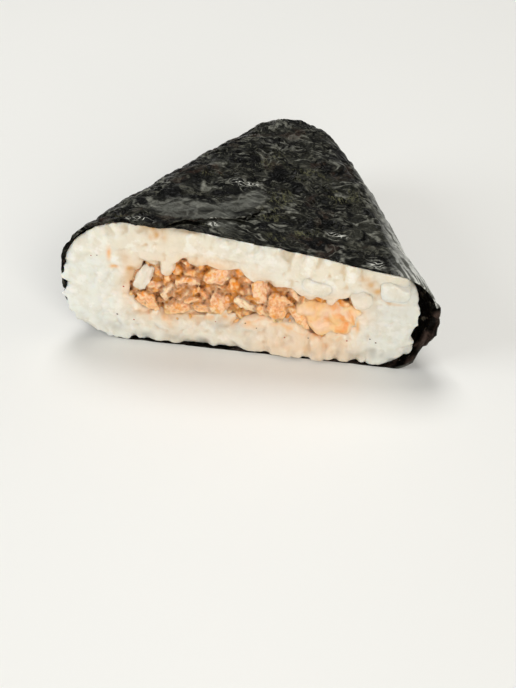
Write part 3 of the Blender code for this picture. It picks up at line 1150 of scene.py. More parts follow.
def cut_behind(node, depth, name):
    """A copy of a CAD node, without what lies in front of a depth."""
    work = bmesh.new()
    work.from_mesh(frame["nodes"][node].data)
    bmesh.ops.remove_doubles(work, verts=work.verts, dist=0.01 * MM)
    everything = work.verts[:] + work.edges[:] + work.faces[:]
    plane = Vector(in_place(0, depth, 0))
    cut = bmesh.ops.bisect_plane(work, geom=everything, plane_co=plane, plane_no=(0, 1, 0), clear_inner=True)
    rim = [part for part in cut["geom_cut"] if isinstance(part, bmesh.types.BMEdge)]
    bmesh.ops.triangle_fill(work, edges=rim, use_beauty=True)
    bmesh.ops.recalc_face_normals(work, faces=work.faces)
    data = mesh_of(work, name)
    data.shade_smooth()
    move_vertices(data, coordinates(data) - CORE_SHRINK * coordinates(data, "normal"))
    data.set_sharp_from_angle(angle=math.radians(40))
    return link(bpy.data.objects.new(name, data))


rice_core = cut_behind("rice", BLOCK_BACK - CORE_OVERLAP, "rice_core")
rice_core.data.materials.append(rice_finish)
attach(rice_core, "root")
print("faces of the back of the rice:", len(rice_core.data.polygons))

# %% [markdown]
# ## The finish of the filling
#
# The flakes are cooked meat: pinkish tan to cream on their broken faces, with a saturated orange sauce
# that collects in patches. The deep gaps between flakes and the far back of the pocket are painted
# dark brown as shade, and the convex rims are painted pale as highlights. Along the lower edge the
# flakes are soaked and fade into the rice. Each flake keeps a random tone. It also keeps its own
# measure, which is where a point lay before the flake was turned, so that the fibres run along every
# flake whichever way it lies.

# %% Filling finish


def along_fibres(finish, scale, detail, stretch=(0.18, 1, 1)):
    """Noise in a flake's own measure, drawn out along it, and different for each tone."""
    own = finish.nodes.new("ShaderNodeAttribute")
    own.attribute_name = "own"
    mapping = finish.nodes.new("ShaderNodeMapping")
    finish.set(mapping, vector=own.outputs["Vector"], scale=stretch)
    texture = finish.nodes.new("ShaderNodeTexNoise")
    texture.noise_dimensions = "4D"
    other = finish.sum("MULTIPLY", finish.attribute("tone"), 40.0)
    finish.set(texture, vector=mapping.outputs[0], w=other, scale=scale, detail=detail)
    return texture.outputs["Fac"]


def make_filling_finish():
    """Moist flaked meat in an orange sauce, with painted shade in the gaps and painted highlight on the rims.
    """
    finish = Finish(
        "flaked_filling",
        0.45,
        subsurface_weight=0.35,
        subsurface_radius=(1.0, 0.55, 0.35),
        subsurface_scale=0.7 * MM,
        specular_ior_level=0.4,
    )
    tone = finish.attribute("tone")
    meat = finish.mix(finish.ramp(tone, 0.0, 0.35), colour(230, 164, 108), colour(248, 182, 130))
    meat = finish.mix(finish.ramp(tone, 0.35, 0.6), meat, colour(252, 202, 164))
    meat = finish.mix(finish.ramp(tone, 0.7, 1.0), meat, colour(255, 236, 206))
    strands = along_fibres(finish, 1300, 2, (0.3, 1, 1))
    meat = finish.mix(finish.ramp(strands, 0.52, 0.66, 0.0, 0.65), meat, colour(255, 226, 184))
    meat = finish.mix(finish.ramp(strands, 0.48, 0.36, 0.0, 0.65), meat, colour(214, 130, 60))
    grit = finish.noise(2300, 3)
    meat = finish.mix(finish.ramp(grit, 0.54, 0.64, 0.0, 0.5), meat, colour(255, 226, 190))
    meat = finish.mix(finish.ramp(grit, 0.47, 0.36, 0.0, 0.4), meat, colour(228, 142, 68))
    sauce = finish.ramp(finish.noise(400, 4, distortion=1.8), 0.50, 0.62)
    sauce = finish.sum("MULTIPLY", sauce, finish.ramp(tone, 1.0, 0.6, 0.15, 0.8))
    meat = finish.mix(sauce, meat, colour(246, 160, 46))
    patchy = finish.ramp(finish.noise(900, 3, distortion=1.0, shift=(4, 0, 7)), 0.38, 0.58, 0.35, 1.0)
    meat = finish.mix(finish.sum("MULTIPLY", finish.attribute("saucy"), patchy), meat, colour(242, 148, 26))
    meat = finish.mix(finish.attribute("soaked"), meat, colour(250, 206, 140))
    # painted highlight on the convex rims
    meat = finish.mix(finish.attribute("rim"), meat, colour(255, 226, 178))
    # painted shade: dark brown in the gaps and far back in the pocket
    meat = finish.mix(finish.attribute("deep"), meat, colour(116, 50, 6))
    tilt = finish.bump(strands, 0.26 * MM)
    tilt = finish.bump(grit, 0.10 * MM, tilt)
    finish.set(finish.shader, base_color=meat, normal=tilt)
    return finish.material


filling_finish = make_filling_finish()
print("nodes in the filling's finish:", len(filling_finish.node_tree.nodes))

# %% [markdown]
# ## The core of the filling
#
# Behind the flakes lies the rest of the filling. It closes the pocket, runs back into the rice as the
# imported solid does, and is painted dark brown, as shade, where it shows between the flakes.

# %% Core of the filling
CORE_FRONT = 2.9 * MM
CORE_GROWTH = 1.5 * MM
FILLING_DEPTH = 37 * MM
FILLING_BACK_SHARE = 0.4


def core_rings():
    """Depth and size of each ring of the core: a flat front, a narrowing back, and a closed end."""
    rings = [(CORE_FRONT, share) for share in np.linspace(0.04, 1, 12)]
    for step in np.linspace(0, 1, 16)[1:]:
        depth = CORE_FRONT + (FILLING_DEPTH - CORE_FRONT) * math.sin(0.5 * math.pi * step)
        share = (depth / FILLING_DEPTH) ** 2
        rings.append((depth, 1 + (FILLING_BACK_SHARE - 1) * share))
    for share in np.linspace(1, 0.04, 6)[1:]:
        rings.append((FILLING_DEPTH, FILLING_BACK_SHARE * share))
    return rings


def store_own(data, places):
    """Keep a flake's own measure on the mesh."""
    own = data.attributes.new("own", "FLOAT_VECTOR", "POINT")
    own.data.foreach_set("vector", np.asarray(places, np.float32).ravel())


def store_measure(data, places, tone, saucy):
    """Keep a flake's own measure, its tone and its sauce on the mesh."""
    store_own(data, places)
    store(data, "tone", tone)
    store(data, "saucy", saucy)


def make_filling_core():
    """A lens that starts behind the flakes and narrows towards the back."""
    count = 120
    outline = evenly(np.concatenate([filling_outline, filling_outline[:1]]), count)
    middle = 0.5 * (outline.min(0) + outline.max(0))
    away = outline - middle
    outline = outline + CORE_GROWTH * away / np.linalg.norm(away, axis=1)[:, None]
    points = []
    for depth, share in core_rings():
        flat = middle + (outline - middle) * share
        points.append(in_place(flat[:, 0], np.full(count, depth), flat[:, 1]))
    points = np.concatenate(points)
    faces = [tuple(range(count)), tuple(range(len(points) - count, len(points)))]
    for first in range(0, len(points) - count, count):
        faces += band_faces(count, first, first + count)
    relief = noise_at(points, 2.4 * MM, 2) + 0.5 * noise_at(points, 1.2 * MM, 6)
    points[:, 1] += 0.6 * MM * relief * (points[:, 1] < CUT_Y + CORE_FRONT + 0.1 * MM)
    data = mesh_from("filling_core", points, faces)
    outward(data)
    data.shade_smooth()
    store_measure(data, points, 0.3, 0.4)
    # painted shade: the core is dark brown where it shows between the flakes
    store(data, "deep", 0.8)
    data.materials.append(filling_finish)
    return link(bpy.data.objects.new("filling_core", data))


filling_core = make_filling_core()
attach(filling_core, "root")
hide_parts("filling")
print("faces of the filling's core:", len(filling_core.data.polygons))

# %% [markdown]
# ## One flake
#
# A flake is a bundle of muscle fibres that has broken off. It is made from a boxy ball: a few random
# cuts give it flat broken faces, ridges run along it, and its ends are torn, each fibre at its own
# length. The same rule makes large flakes with many faces and small ones with few.

# %% Flake shapes


def flake_points(seed, length, width, height, around, rings, rough=1.0):
    """Places on one flake that lies along X, ring after ring, with its two ends last."""
    rng = np.random.default_rng(seed)
    angle = 2 * np.pi * np.arange(around) / around
    rise = np.pi * (np.arange(rings) + 0.7) / (rings + 0.4) - 0.5 * np.pi
    along = np.repeat(np.sin(rise), around)
    across = np.repeat(np.cos(rise), around) * np.tile(np.cos(angle), rings)
    up = np.repeat(np.cos(rise), around) * np.tile(np.sin(angle), rings)
    ball = np.concatenate([np.stack([along, across, up], 1), [(-1, 0, 0), (1, 0, 0)]])
    ball = ball / (np.abs(ball) ** 3.5).sum(1)[:, None] ** (1 / 3.5)
    for _ in range(5):
        normal = rng.normal(size=3)
        normal /= np.linalg.norm(normal)
        over = np.maximum(ball @ normal - rng.uniform(0.75, 1.05), 0)
        ball = ball - over[:, None] * normal
    places = ball * (0.5 * length, 0.5 * width, 0.5 * height)
    ridges = noise_at(places * (0.2, 1, 1), 0.55 * MM, seed)
    places[:, 1:] *= (1 + 0.16 * rough * ridges)[:, None]
    torn = noise_at(places * (0.1, 1, 1), 0.55 * MM, seed + 40)
    places[:, 0] += 0.5 * MM * rough * torn * np.abs(ball[:, 0]) ** 3
    places += 0.16 * MM * rough * np.stack([noise_at(places, 0.8 * MM, seed + k) for k in (50, 60, 70)], 1)
    places[:, 2] += rough * rng.uniform(-0.5, 0.5) * height * ball[:, 0] ** 2
    return places


def ring_faces(around, rings, first=0):
    """Faces between the rings and round the two ends."""
    last = first + (rings - 1) * around
    end = last + around
    faces = []
    for low in range(first, last, around):
        faces += band_faces(around, low, low + around)
    faces += [(first + (i + 1) % around, first + i, end) for i in range(around)]
    faces += [(last + i, last + (i + 1) % around, end + 1) for i in range(around)]
    return faces


def make_small_flake(seed):
    """A flake with few faces, to be strewn."""
    rng = np.random.default_rng(seed)
    around, rings = 10, 6
    length, width, height = rng.uniform(3, 4.6), rng.uniform(1.7, 2.6), rng.uniform(1.2, 1.9)
    places = flake_points(seed, length * MM, width * MM, height * MM, around, rings)
    data = mesh_from(f"flake_{seed}", places, ring_faces(around, rings))
    outward(data)
    store_own(data, places)
    data.shade_smooth()
    return data


flakes = shelf("flakes", [make_small_flake(seed) for seed in range(1, 7)])

# %% [markdown]
# ## Large flakes placed one by one
#
# The large flakes are what one sees, so each is placed on its own: a tan block on the right of the
# middle, a pale one that leans down next to it, a pink pair under the roof of the pocket, thin orange
# strands on the left, and dark ones far back.

# %% Large flakes

# along the cut, up, behind the cut, turn from level, length, width, thickness, tone, sauce
LARGE_FLAKES = [
    (-20.6, 8.4, 0.7, 65, 3.6, 2.4, 1.6, 0.35, 0.45),
    (-17.3, 9.2, 0.5, -25, 4.8, 3.0, 1.8, 0.45, 0.1),
    (-16.1, 12.2, 1.0, 18, 3.7, 2.4, 1.8, 0.55, 0.0),
    (-12.1, 8.0, 0.5, 14, 6.4, 2.3, 1.5, 0.5, 0.1),
    (-13.5, 11.3, 1.1, 58, 4.4, 2.2, 1.4, 0.85, 0.0),
    (-14.8, 15.0, 2.7, -60, 4.6, 3.2, 1.8, 0.25, 0.0),
    (-12.6, 14.0, 2.5, 20, 4.4, 2.8, 2.0, 0.4, 0.1),
    (-10.6, 16.8, 2.8, -15, 4.4, 3.2, 2.2, 0.3, 0.1),
    (-9.8, 14.0, 1.3, 12, 4.6, 2.2, 1.7, 0.55, 0.0),
    (-7.6, 17.4, 3.4, -28, 5.2, 3.4, 2.0, 0.2, 0.6),
    (-10.4, 10.6, 0.8, 50, 3.6, 1.2, 1.0, 0.7, 0.2),
    (-8.8, 11.8, 0.9, 34, 4.4, 1.2, 1.0, 0.5, 0.7),
    (-8.4, 10.2, 0.6, 8, 3.8, 1.3, 1.0, 0.6, 0.5),
    (-6.7, 11.4, 0.8, -52, 3.4, 1.2, 1.0, 0.5, 0.6),
    (-7.4, 8.9, 0.5, -8, 4.4, 1.9, 1.3, 0.55, 0.15),
    (-3.9, 16.0, 0.9, 48, 5.2, 3.5, 2.4, 0.55, 0.0),
    (-1.4, 15.7, 1.5, -70, 3.8, 2.8, 1.8, 0.45, 0.0),
    (-4.6, 12.8, 1.8, 10, 4.2, 2.4, 1.8, 0.4, 0.2),
    (-3.5, 10.2, 0.7, 82, 4.9, 4.3, 2.4, 0.6, 0.05),
    (-0.9, 14.2, 1.0, 70, 3.8, 3.0, 2.2, 0.5, 0.85),
    (1.6, 15.6, 1.2, 5, 3.0, 1.6, 1.4, 0.5, 0.5),
    (1.4, 13.2, 0.9, -4, 3.2, 1.3, 1.2, 0.65, 0.3),
    (1.8, 11.9, 0.7, -12, 3.4, 1.4, 1.2, 0.6, 0.35),
    (4.0, 13.8, 0.6, 103, 6.2, 3.2, 2.2, 0.6, 0.0),
    (1.2, 10.4, 0.5, -35, 4.8, 1.9, 1.3, 1.0, 0.0),
    (4.4, 9.4, 0.6, -20, 3.4, 1.8, 1.3, 0.75, 0.1),
    (5.4, 17.4, 1.5, -14, 4.8, 2.4, 1.8, 0.3, 0.05),
    (7.2, 15.2, 1.9, -22, 4.6, 2.6, 1.9, 0.15, 0.0),
    (8.9, 15.2, 1.4, -55, 3.6, 1.6, 1.4, 0.35, 0.0),
    (7.7, 11.1, 0.9, 86, 5.0, 4.8, 2.6, 0.35, 0.0),
    (9.9, 14.2, 0.8, -52, 4.8, 1.2, 1.0, 0.7, 0.0),
    (11.3, 8.6, 0.6, -62, 6.0, 1.9, 1.4, 0.75, 0.1),
    (12.0, 12.7, 1.0, 75, 3.0, 1.6, 1.4, 0.45, 0.2),
    (7.9, 7.9, 0.5, 75, 2.4, 1.3, 1.0, 0.95, 0.0),
    (6.4, 7.8, 0.6, 100, 1.9, 1.1, 0.9, 0.9, 0.1),
    (14.6, 13.0, 1.1, 0, 3.0, 1.5, 1.2, 0.4, 0.7),
    (18.6, 12.9, 0.9, -6, 3.4, 1.3, 1.0, 0.4, 0.7),
]
FLAKE_AROUND = 30
FLAKE_RINGS = 22
FURTHEST_FORWARD = 0.8 * MM


def press_flakes(data):
    """Press flakes back to the knife's plane."""
    places = coordinates(data)
    y = from_cut(places)[:, 1]
    y = np.where(y < 0, -FURTHEST_FORWARD * np.tanh(-y / FURTHEST_FORWARD), y)
    places[:, 1] = y + CUT_Y
    move_vertices(data, places)


def make_large_flakes():
    """One mesh of all the large flakes."""
    points, own, tones, sauces, faces = [], [], [], [], []
    for seed, (along, up, behind, turn, length, width, thick, tone, sauce) in enumerate(LARGE_FLAKES):
        rng = np.random.default_rng(seed + 100)
        places = flake_points(seed, length * MM, width * MM, thick * MM, FLAKE_AROUND, FLAKE_RINGS)
        stand = Matrix.Rotation(math.radians(90 + rng.uniform(-22, 22)), 3, "X")
        yaw = Matrix.Rotation(math.radians(rng.uniform(-18, 18)), 3, "Z")
        turned = np.array(Matrix.Rotation(math.radians(-turn), 3, "Y") @ yaw @ stand)
        faces += ring_faces(FLAKE_AROUND, FLAKE_RINGS, first=sum(len(p) for p in points))
        points.append(places @ turned.T + in_place(along * MM, behind * MM, up * MM))
        own.append(places)
        tones.append(np.full(len(places), tone))
        sauces.append(np.full(len(places), sauce))
    data = mesh_from("large_flakes", np.concatenate(points), faces)
    store_measure(data, np.concatenate(own), np.concatenate(tones), np.concatenate(sauces))
    outward(data)
    press_flakes(data)
    return link(bpy.data.objects.new("large_flakes", data))


large_flakes = make_large_flakes()
print("faces of the large flakes:", len(large_flakes.data.polygons))

# %% [markdown]
# ## Small flakes
#
# Behind the large flakes and between them lie small ones, strewn in two layers as the grains are.
# Both kinds are then pressed back to the plane of the knife.

# %% Small flakes
FLAKE_DEPTHS = (1.7 * MM, 3.0 * MM)
FLAKE_MARGIN = 1.0 * MM


def in_filling(x, z):
    """Where flakes lie."""
    return signed_distance(filling_outline, x, z) < -FLAKE_MARGIN


def read(data, name):
    """A value stored on the mesh, one row for each vertex."""
    attribute = data.attributes[name]
    kind, width = ("vector", 3) if attribute.data_type == "FLOAT_VECTOR" else ("value", 1)
    flat = np.empty(width * len(data.vertices), np.float32)
    attribute.data.foreach_get(kind, flat)
    return flat.reshape(-1, width)


flake_bed = make_bed("flake_bed", FLAKE_DEPTHS, in_filling)
small_flakes = strew(
    "small_flakes", flake_bed, flakes, filling_finish, 1.7 * MM, (0.7, 1.2), lift=0.6, seed=11
)
press_flakes(small_flakes.data)
tones = read(small_flakes.data, "tone")[:, 0]
store(small_flakes.data, "saucy", 0.8 * smooth_step((tones - 0.7) / 0.1))
store(small_flakes.data, "tone", 0.6 * tones)  # the pale ones are placed one by one
print("faces of the small flakes:", len(small_flakes.data.polygons))

# %% [markdown]
# ## One moist mass
#
# Moist flakes stick together, so their joints are soft fillets, not open cracks. The large and small
# flakes are merged by a remesh, as the rice is, with a voxel small enough to keep their corners. A
# remesh forgets what was stored, so each point of the new skin looks for the nearest flake and takes
# over its values. Comparing the skin with a blurred copy of itself then tells rims, which get a
# painted highlight, from gaps, which get painted shade.

# %% Merge the flakes
FLAKE_VOXEL = 0.21 * MM


def carry_over(skin, parts):
    """The values of the nearest flake for each point of the merged skin: its own measure, tone and sauce."""
    places, faces, values = [], [], []
    for part in parts:
        first = sum(len(rows) for rows in places)
        places.append(coordinates(part))
        faces += [[first + k for k in face.vertices] for face in part.polygons]
        values.append(np.concatenate([read(part, name) for name in ("own", "tone", "saucy")], 1))
    places, values = np.concatenate(places), np.concatenate(values)
    tree = BVHTree.FromPolygons([tuple(place) for place in places], faces)
    targets = coordinates(skin)
    corners = np.zeros((len(targets), 4), int)
    for row, target in enumerate(targets):
        face = faces[tree.find_nearest(Vector(target))[2]]
        corners[row] = (face + face[:1])[:4]
    weights = 1 / (np.linalg.norm(places[corners] - targets[:, None], axis=2) + 0.01 * MM)
    return (values[corners] * weights[..., None]).sum(1) / weights.sum(1)[:, None]


def colour_flakes(data, carried):
    """Store the flakes' values, the painted highlight on rims, the painted shade in gaps and far back, and
    where it is soaked along the lower edge.
    """
    places = coordinates(data)
    x, y, z = from_cut(places).T
    soft = blurred(data, np.stack([carried[:, 3], carried[:, 4], 0 * x], 1), 2)
    store_measure(data, carried[:, :3], soft[:, 0], soft[:, 1])
    near = dents(data, places, 5)
    wide = dents(data, places, 24)
    # painted shade deep in the gaps, and behind the front flakes
    gaps = 0.62 * smooth_step((near - 0.04 * MM) / (0.13 * MM))
    gaps = gaps + 0.30 * smooth_step((wide - 0.12 * MM) / (0.45 * MM))
    behind = 0.95 * smooth_step((y - 1.7 * MM) / (2.0 * MM))
    store(data, "deep", np.clip(np.maximum(gaps, behind), 0, 0.95))
    # painted highlight on the convex rims
    store(data, "rim", 0.45 * smooth_step((-near - 0.02 * MM) / (0.09 * MM)))
    low = np.exp(-np.maximum(z - base_of_filling(x), 0) / (1.3 * MM)) * (np.abs(x) < 21 * MM)
    store(data, "soaked", low * np.clip(0.7 + 0.9 * noise_at(places, 0.8 * MM, 71), 0, 1))


def make_mass(parts):
    """Merge the flakes and colour the mass."""
    sources = [part.data.copy() for part in parts]
    made = fuse(joined("flake_parts", parts), "filling_flakes", FLAKE_VOXEL, 2)
    carried = carry_over(made.data, sources)
    roughen(made.data, (0.16 * MM, 1.3 * MM, 81), (0.11 * MM, 0.6 * MM, 82))
    colour_flakes(made.data, carried)
    for data in sources:
        bpy.data.meshes.remove(data)
    made.data.shade_smooth()
    made.data.materials.clear()
    made.data.materials.append(filling_finish)
    return made


filling_flakes = make_mass([large_flakes, small_flakes])
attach(filling_flakes, "root")
print("faces of the merged flakes:", len(filling_flakes.data.polygons))

# %% [markdown]
# ## Crumbs
#
# Crumbs lie along the lower edge, where the filling meets the rice. They are the same small flakes,
# made much smaller and turned every way.

# %% Crumbs


def by_lower_edge(x, z):
    """Where crumbs lie, along the filling's lower edge."""
    return (np.abs(x) < 21 * MM) & (np.abs(z - base_of_filling(x) + 0.4 * MM) < 1.0 * MM)


crumb_bed = make_bed("crumb_bed", [0.6 * MM], by_lower_edge)
crumbs = strew(
    "filling_crumbs", crumb_bed, flakes, filling_finish, 2.6 * MM, (0.15, 0.4), lift=3.0, seed=5
)
press_flakes(crumbs.data)
store(crumbs.data, "saucy", 0.5)
store(crumbs.data, "soaked", 0.4)
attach(crumbs, "root")
print("faces of the crumbs:", len(crumbs.data.polygons))

# %% [markdown]
# ## The smear
#
# At the thin end the knife has drawn the softest filling into a smooth peach paste. It is a few
# flattened lumps, merged by a remesh as the rice is, then dented a little.

# %% Smear of filling
SMEAR_LUMPS = [  # along the cut, up, half width, half height, in millimetres
    (12.6, 10.9, 2.5, 2.0),
    (14.2, 9.0, 2.2, 2.4),
    (17.0, 10.6, 3.4, 2.6),
    (20.4, 10.5, 2.7, 2.4),
    (15.6, 7.2, 2.4, 1.6),
    (19.0, 7.4, 2.6, 1.5),
]
SMEAR_HALF_THICKNESS = 1.5 * MM
SMEAR_VOXEL = 0.25 * MM


def make_smear_finish():
    """Smooth peach paste, pinker at its thick end, with orange at its edges."""
    finish = Finish(
        "soft_filling",
        0.38,
        subsurface_weight=0.6,
        subsurface_radius=(1.0, 0.7, 0.5),
        subsurface_scale=1.2 * MM,
    )
    pinker = finish.ramp(finish.noise(300, 2), 0.4, 0.65)
    base = finish.mix(pinker, colour(250, 204, 148), colour(247, 210, 178))
    sauce = finish.ramp(finish.noise(260, 4, distortion=1.0, shift=(3, 1, 2)), 0.50, 0.72)
    base = finish.mix(sauce, base, colour(244, 168, 92))
    tilt = finish.bump(finish.noise(1300, 3), 0.12 * MM)
    finish.set(finish.shader, base_color=base, normal=tilt)
    return finish.material


def make_smear():
    """Flattened lumps merged into one smear on the cut."""
    work = bmesh.new()
    for along, up, wide, high in SMEAR_LUMPS:
        before = len(work.verts)
        bmesh.ops.create_icosphere(work, subdivisions=3, radius=1)
        work.verts.ensure_lookup_table()
        lump = work.verts[before:]
        bmesh.ops.scale(work, vec=(wide * MM, SMEAR_HALF_THICKNESS, high * MM), verts=lump)
        bmesh.ops.translate(work, vec=in_place(along * MM, 1.0 * MM, up * MM), verts=lump)
    lumps = link(bpy.data.objects.new("smear", mesh_of(work, "smear")))
    made = fuse(lumps, "filling_smear", SMEAR_VOXEL, 3)
    places = coordinates(made.data)
    places[:, 1] += 0.45 * MM * noise_at(places, 2.6 * MM, 4) + 0.2 * MM * noise_at(places, 1.1 * MM, 9)
    move_vertices(made.data, places)
    made.data.shade_smooth()
    made.data.materials.clear()
    made.data.materials.append(make_smear_finish())
    return made


smear = make_smear()
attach(smear, "root")
print("faces of the smear:", len(smear.data.polygons))

# %% [markdown]
# ## Loose grains and specks
#
# Four grains keep a crisp edge all round: the torn one that leans into the filling on the left, and
# three plump ones in a row towards the thin end. They are made as the flakes are, but smoother.
# Specks of chilli, a third of a millimetre across, lie on the rice. Each is set down on the skin by
# looking for the surface straight behind its place.

# %% Loose grains

# along the cut, up, forward of the cut, turn from level, length, width, thickness, seed, roughness, stain
LOOSE_GRAINS = [
    (-17.9, 14.2, 0.2, 62, 5.4, 2.6, 2.4, 3, 0.9, 0.10),
    (22.6, 14.8, -0.2, 20, 3.9, 3.8, 3.4, 12, 0.08, 0.16),
    (28.5, 16.9, -0.45, 4, 5.4, 4.6, 2.6, 8, 0.25, 0.0),
    (14.4, 16.2, -0.35, -12, 6.4, 3.2, 2.6, 9, 0.25, 0.05),
]
LOOSE_AROUND = 28
LOOSE_RINGS = 20


def make_loose_grains():
    """One mesh of the grains with a crisp edge."""
    points, faces, stains = [], [], []
    for along, up, forward, turn, length, width, thick, seed, rough, stain in LOOSE_GRAINS:
        places = flake_points(seed, length * MM, width * MM, thick * MM, LOOSE_AROUND, LOOSE_RINGS, rough)
        stains.append(np.full(len(places), stain))
        upright = Matrix.Rotation(math.radians(90), 3, "X")
        turned = np.array(Matrix.Rotation(math.radians(-turn), 3, "Y") @ upright)
        faces += ring_faces(LOOSE_AROUND, LOOSE_RINGS, first=sum(len(p) for p in points))
        points.append(places @ turned.T + in_place(along * MM, -forward * MM, up * MM))
    data = mesh_from("loose_grains", np.concatenate(points), faces)
    outward(data)
    colour_rice(data)
    store(data, "hollow", 0)
    store(data, "crease", 0)
    store(data, "stain", np.concatenate(stains))
    data.shade_smooth()
    data.materials.append(rice_finish)
    return link(bpy.data.objects.new("loose_grains", data))


loose_grains = make_loose_grains()
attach(loose_grains, "root")
print("loose grains:", len(LOOSE_GRAINS))

# %% Specks of chilli
SPECKS = [  # along the cut and up, in millimetres
    (-27.5, 18.1, "red"), (-26.3, 18.4, "dark"), (-21.8, 11.8, "red"), (-23.2, 5.8, "dark"),
    (-4.4, 6.4, "red"), (3.4, 6.2, "dark"), (24.4, 6.1, "dark"), (25.5, 5.6, "dark"),
    (18.3, 6.7, "red"), (20.2, 5.2, "red"), (1.3, 6.9, "dark"), (-20.0, 5.0, "red"),
    (8.6, 4.4, "red"), (13.0, 5.0, "dark"),
]


def make_specks(shade, tint, seed):
    """Small flat specks of one colour on the surface of the rice."""
    finish = Finish("chilli_" + shade, 0.5)
    finish.set(finish.shader, base_color=(*colour(*tint), 1))
    bpy.context.view_layer.update()
    surface = BVHTree.FromObject(rice, bpy.context.evaluated_depsgraph_get())
    rng = np.random.default_rng(seed)
    work = bmesh.new()
    for along, up, kind in SPECKS:
        if kind != shade:
            continue
        start = Vector(in_place(along * MM, -10 * MM, up * MM))
        hit = surface.ray_cast(start, Vector((0, 1, 0)))[0] or start + Vector((0, 10 * MM, 0))
        before = len(work.verts)
        bmesh.ops.create_icosphere(work, subdivisions=2, radius=1)
        work.verts.ensure_lookup_table()
        speck = work.verts[before:]
        size = rng.uniform(0.12, 0.21) * MM
        bmesh.ops.scale(work, vec=(size, 0.4 * size, size * rng.uniform(0.6, 1.0)), verts=speck)
        bmesh.ops.translate(work, vec=hit, verts=speck)
    data = mesh_of(work, "specks_" + shade)
    data.materials.append(finish.material)
    made = link(bpy.data.objects.new("specks_" + shade, data))
    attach(made, "root")
    return made


for shade, tint in (("red", (176, 60, 34)), ("dark", (88, 62, 40))):
    print("faces of the", shade, "specks:", len(make_specks(shade, tint, 3).data.polygons))

# %% [markdown]
# ## The finish of the nori
#
# Nori is pressed from shreds of seaweed, so up close it is a felt of short curly fibres: nearly black
# green, a little glossy, with olive flecks where it is thin. The curls are a noise that is distorted
# by itself. Its ridges tilt the surface, and pale wisps are painted along them: partly the fibres'
# own lighter colour, partly painted highlight, stronger on top. The finish also paints shade into the
# felt's holes, a pale sheen on a smooth patch and along the right shoulder, and a few bright glints.

# %% Nori finish


def swept(finish, scale, reach, shift=(0, 0, 0)):
    """Object coordinates that are pushed about by a slow noise, which makes straight things curl."""
    mapping = finish.nodes.new("ShaderNodeMapping")
    finish.set(mapping, vector=finish.where, location=shift)
    push = finish.nodes.new("ShaderNodeTexNoise")
    finish.set(push, vector=mapping.outputs[0], scale=scale, detail=1.0)
    centred = finish.nodes.new("ShaderNodeVectorMath")
    centred.operation = "MULTIPLY_ADD"
    finish.links.new(push.outputs["Color"], centred.inputs[0])
    centred.inputs[1].default_value = (reach, reach, reach)
    finish.links.new(mapping.outputs[0], centred.inputs[2])
    return centred.outputs[0]


def strands(finish, where, scale, stretch, detail=1.0, turn=0.0):
    """Thin crests, from 0 between the strands to 1 along each one. They may be turned from the X axis."""
    turned = finish.nodes.new("ShaderNodeMapping")
    finish.set(turned, vector=where, rotation=(0, 0, turn))
    mapping = finish.nodes.new("ShaderNodeMapping")
    finish.set(mapping, vector=turned.outputs[0], scale=stretch)
    texture = finish.nodes.new("ShaderNodeTexNoise")
    finish.set(texture, vector=mapping.outputs[0], scale=scale, detail=detail, roughness=0.4)
    off = finish.sum("ABSOLUTE", finish.sum("SUBTRACT", texture.outputs["Fac"], 0.5), 0.0)
    return finish.ramp(off, 0.0, 0.13, 1.0, 0.0)


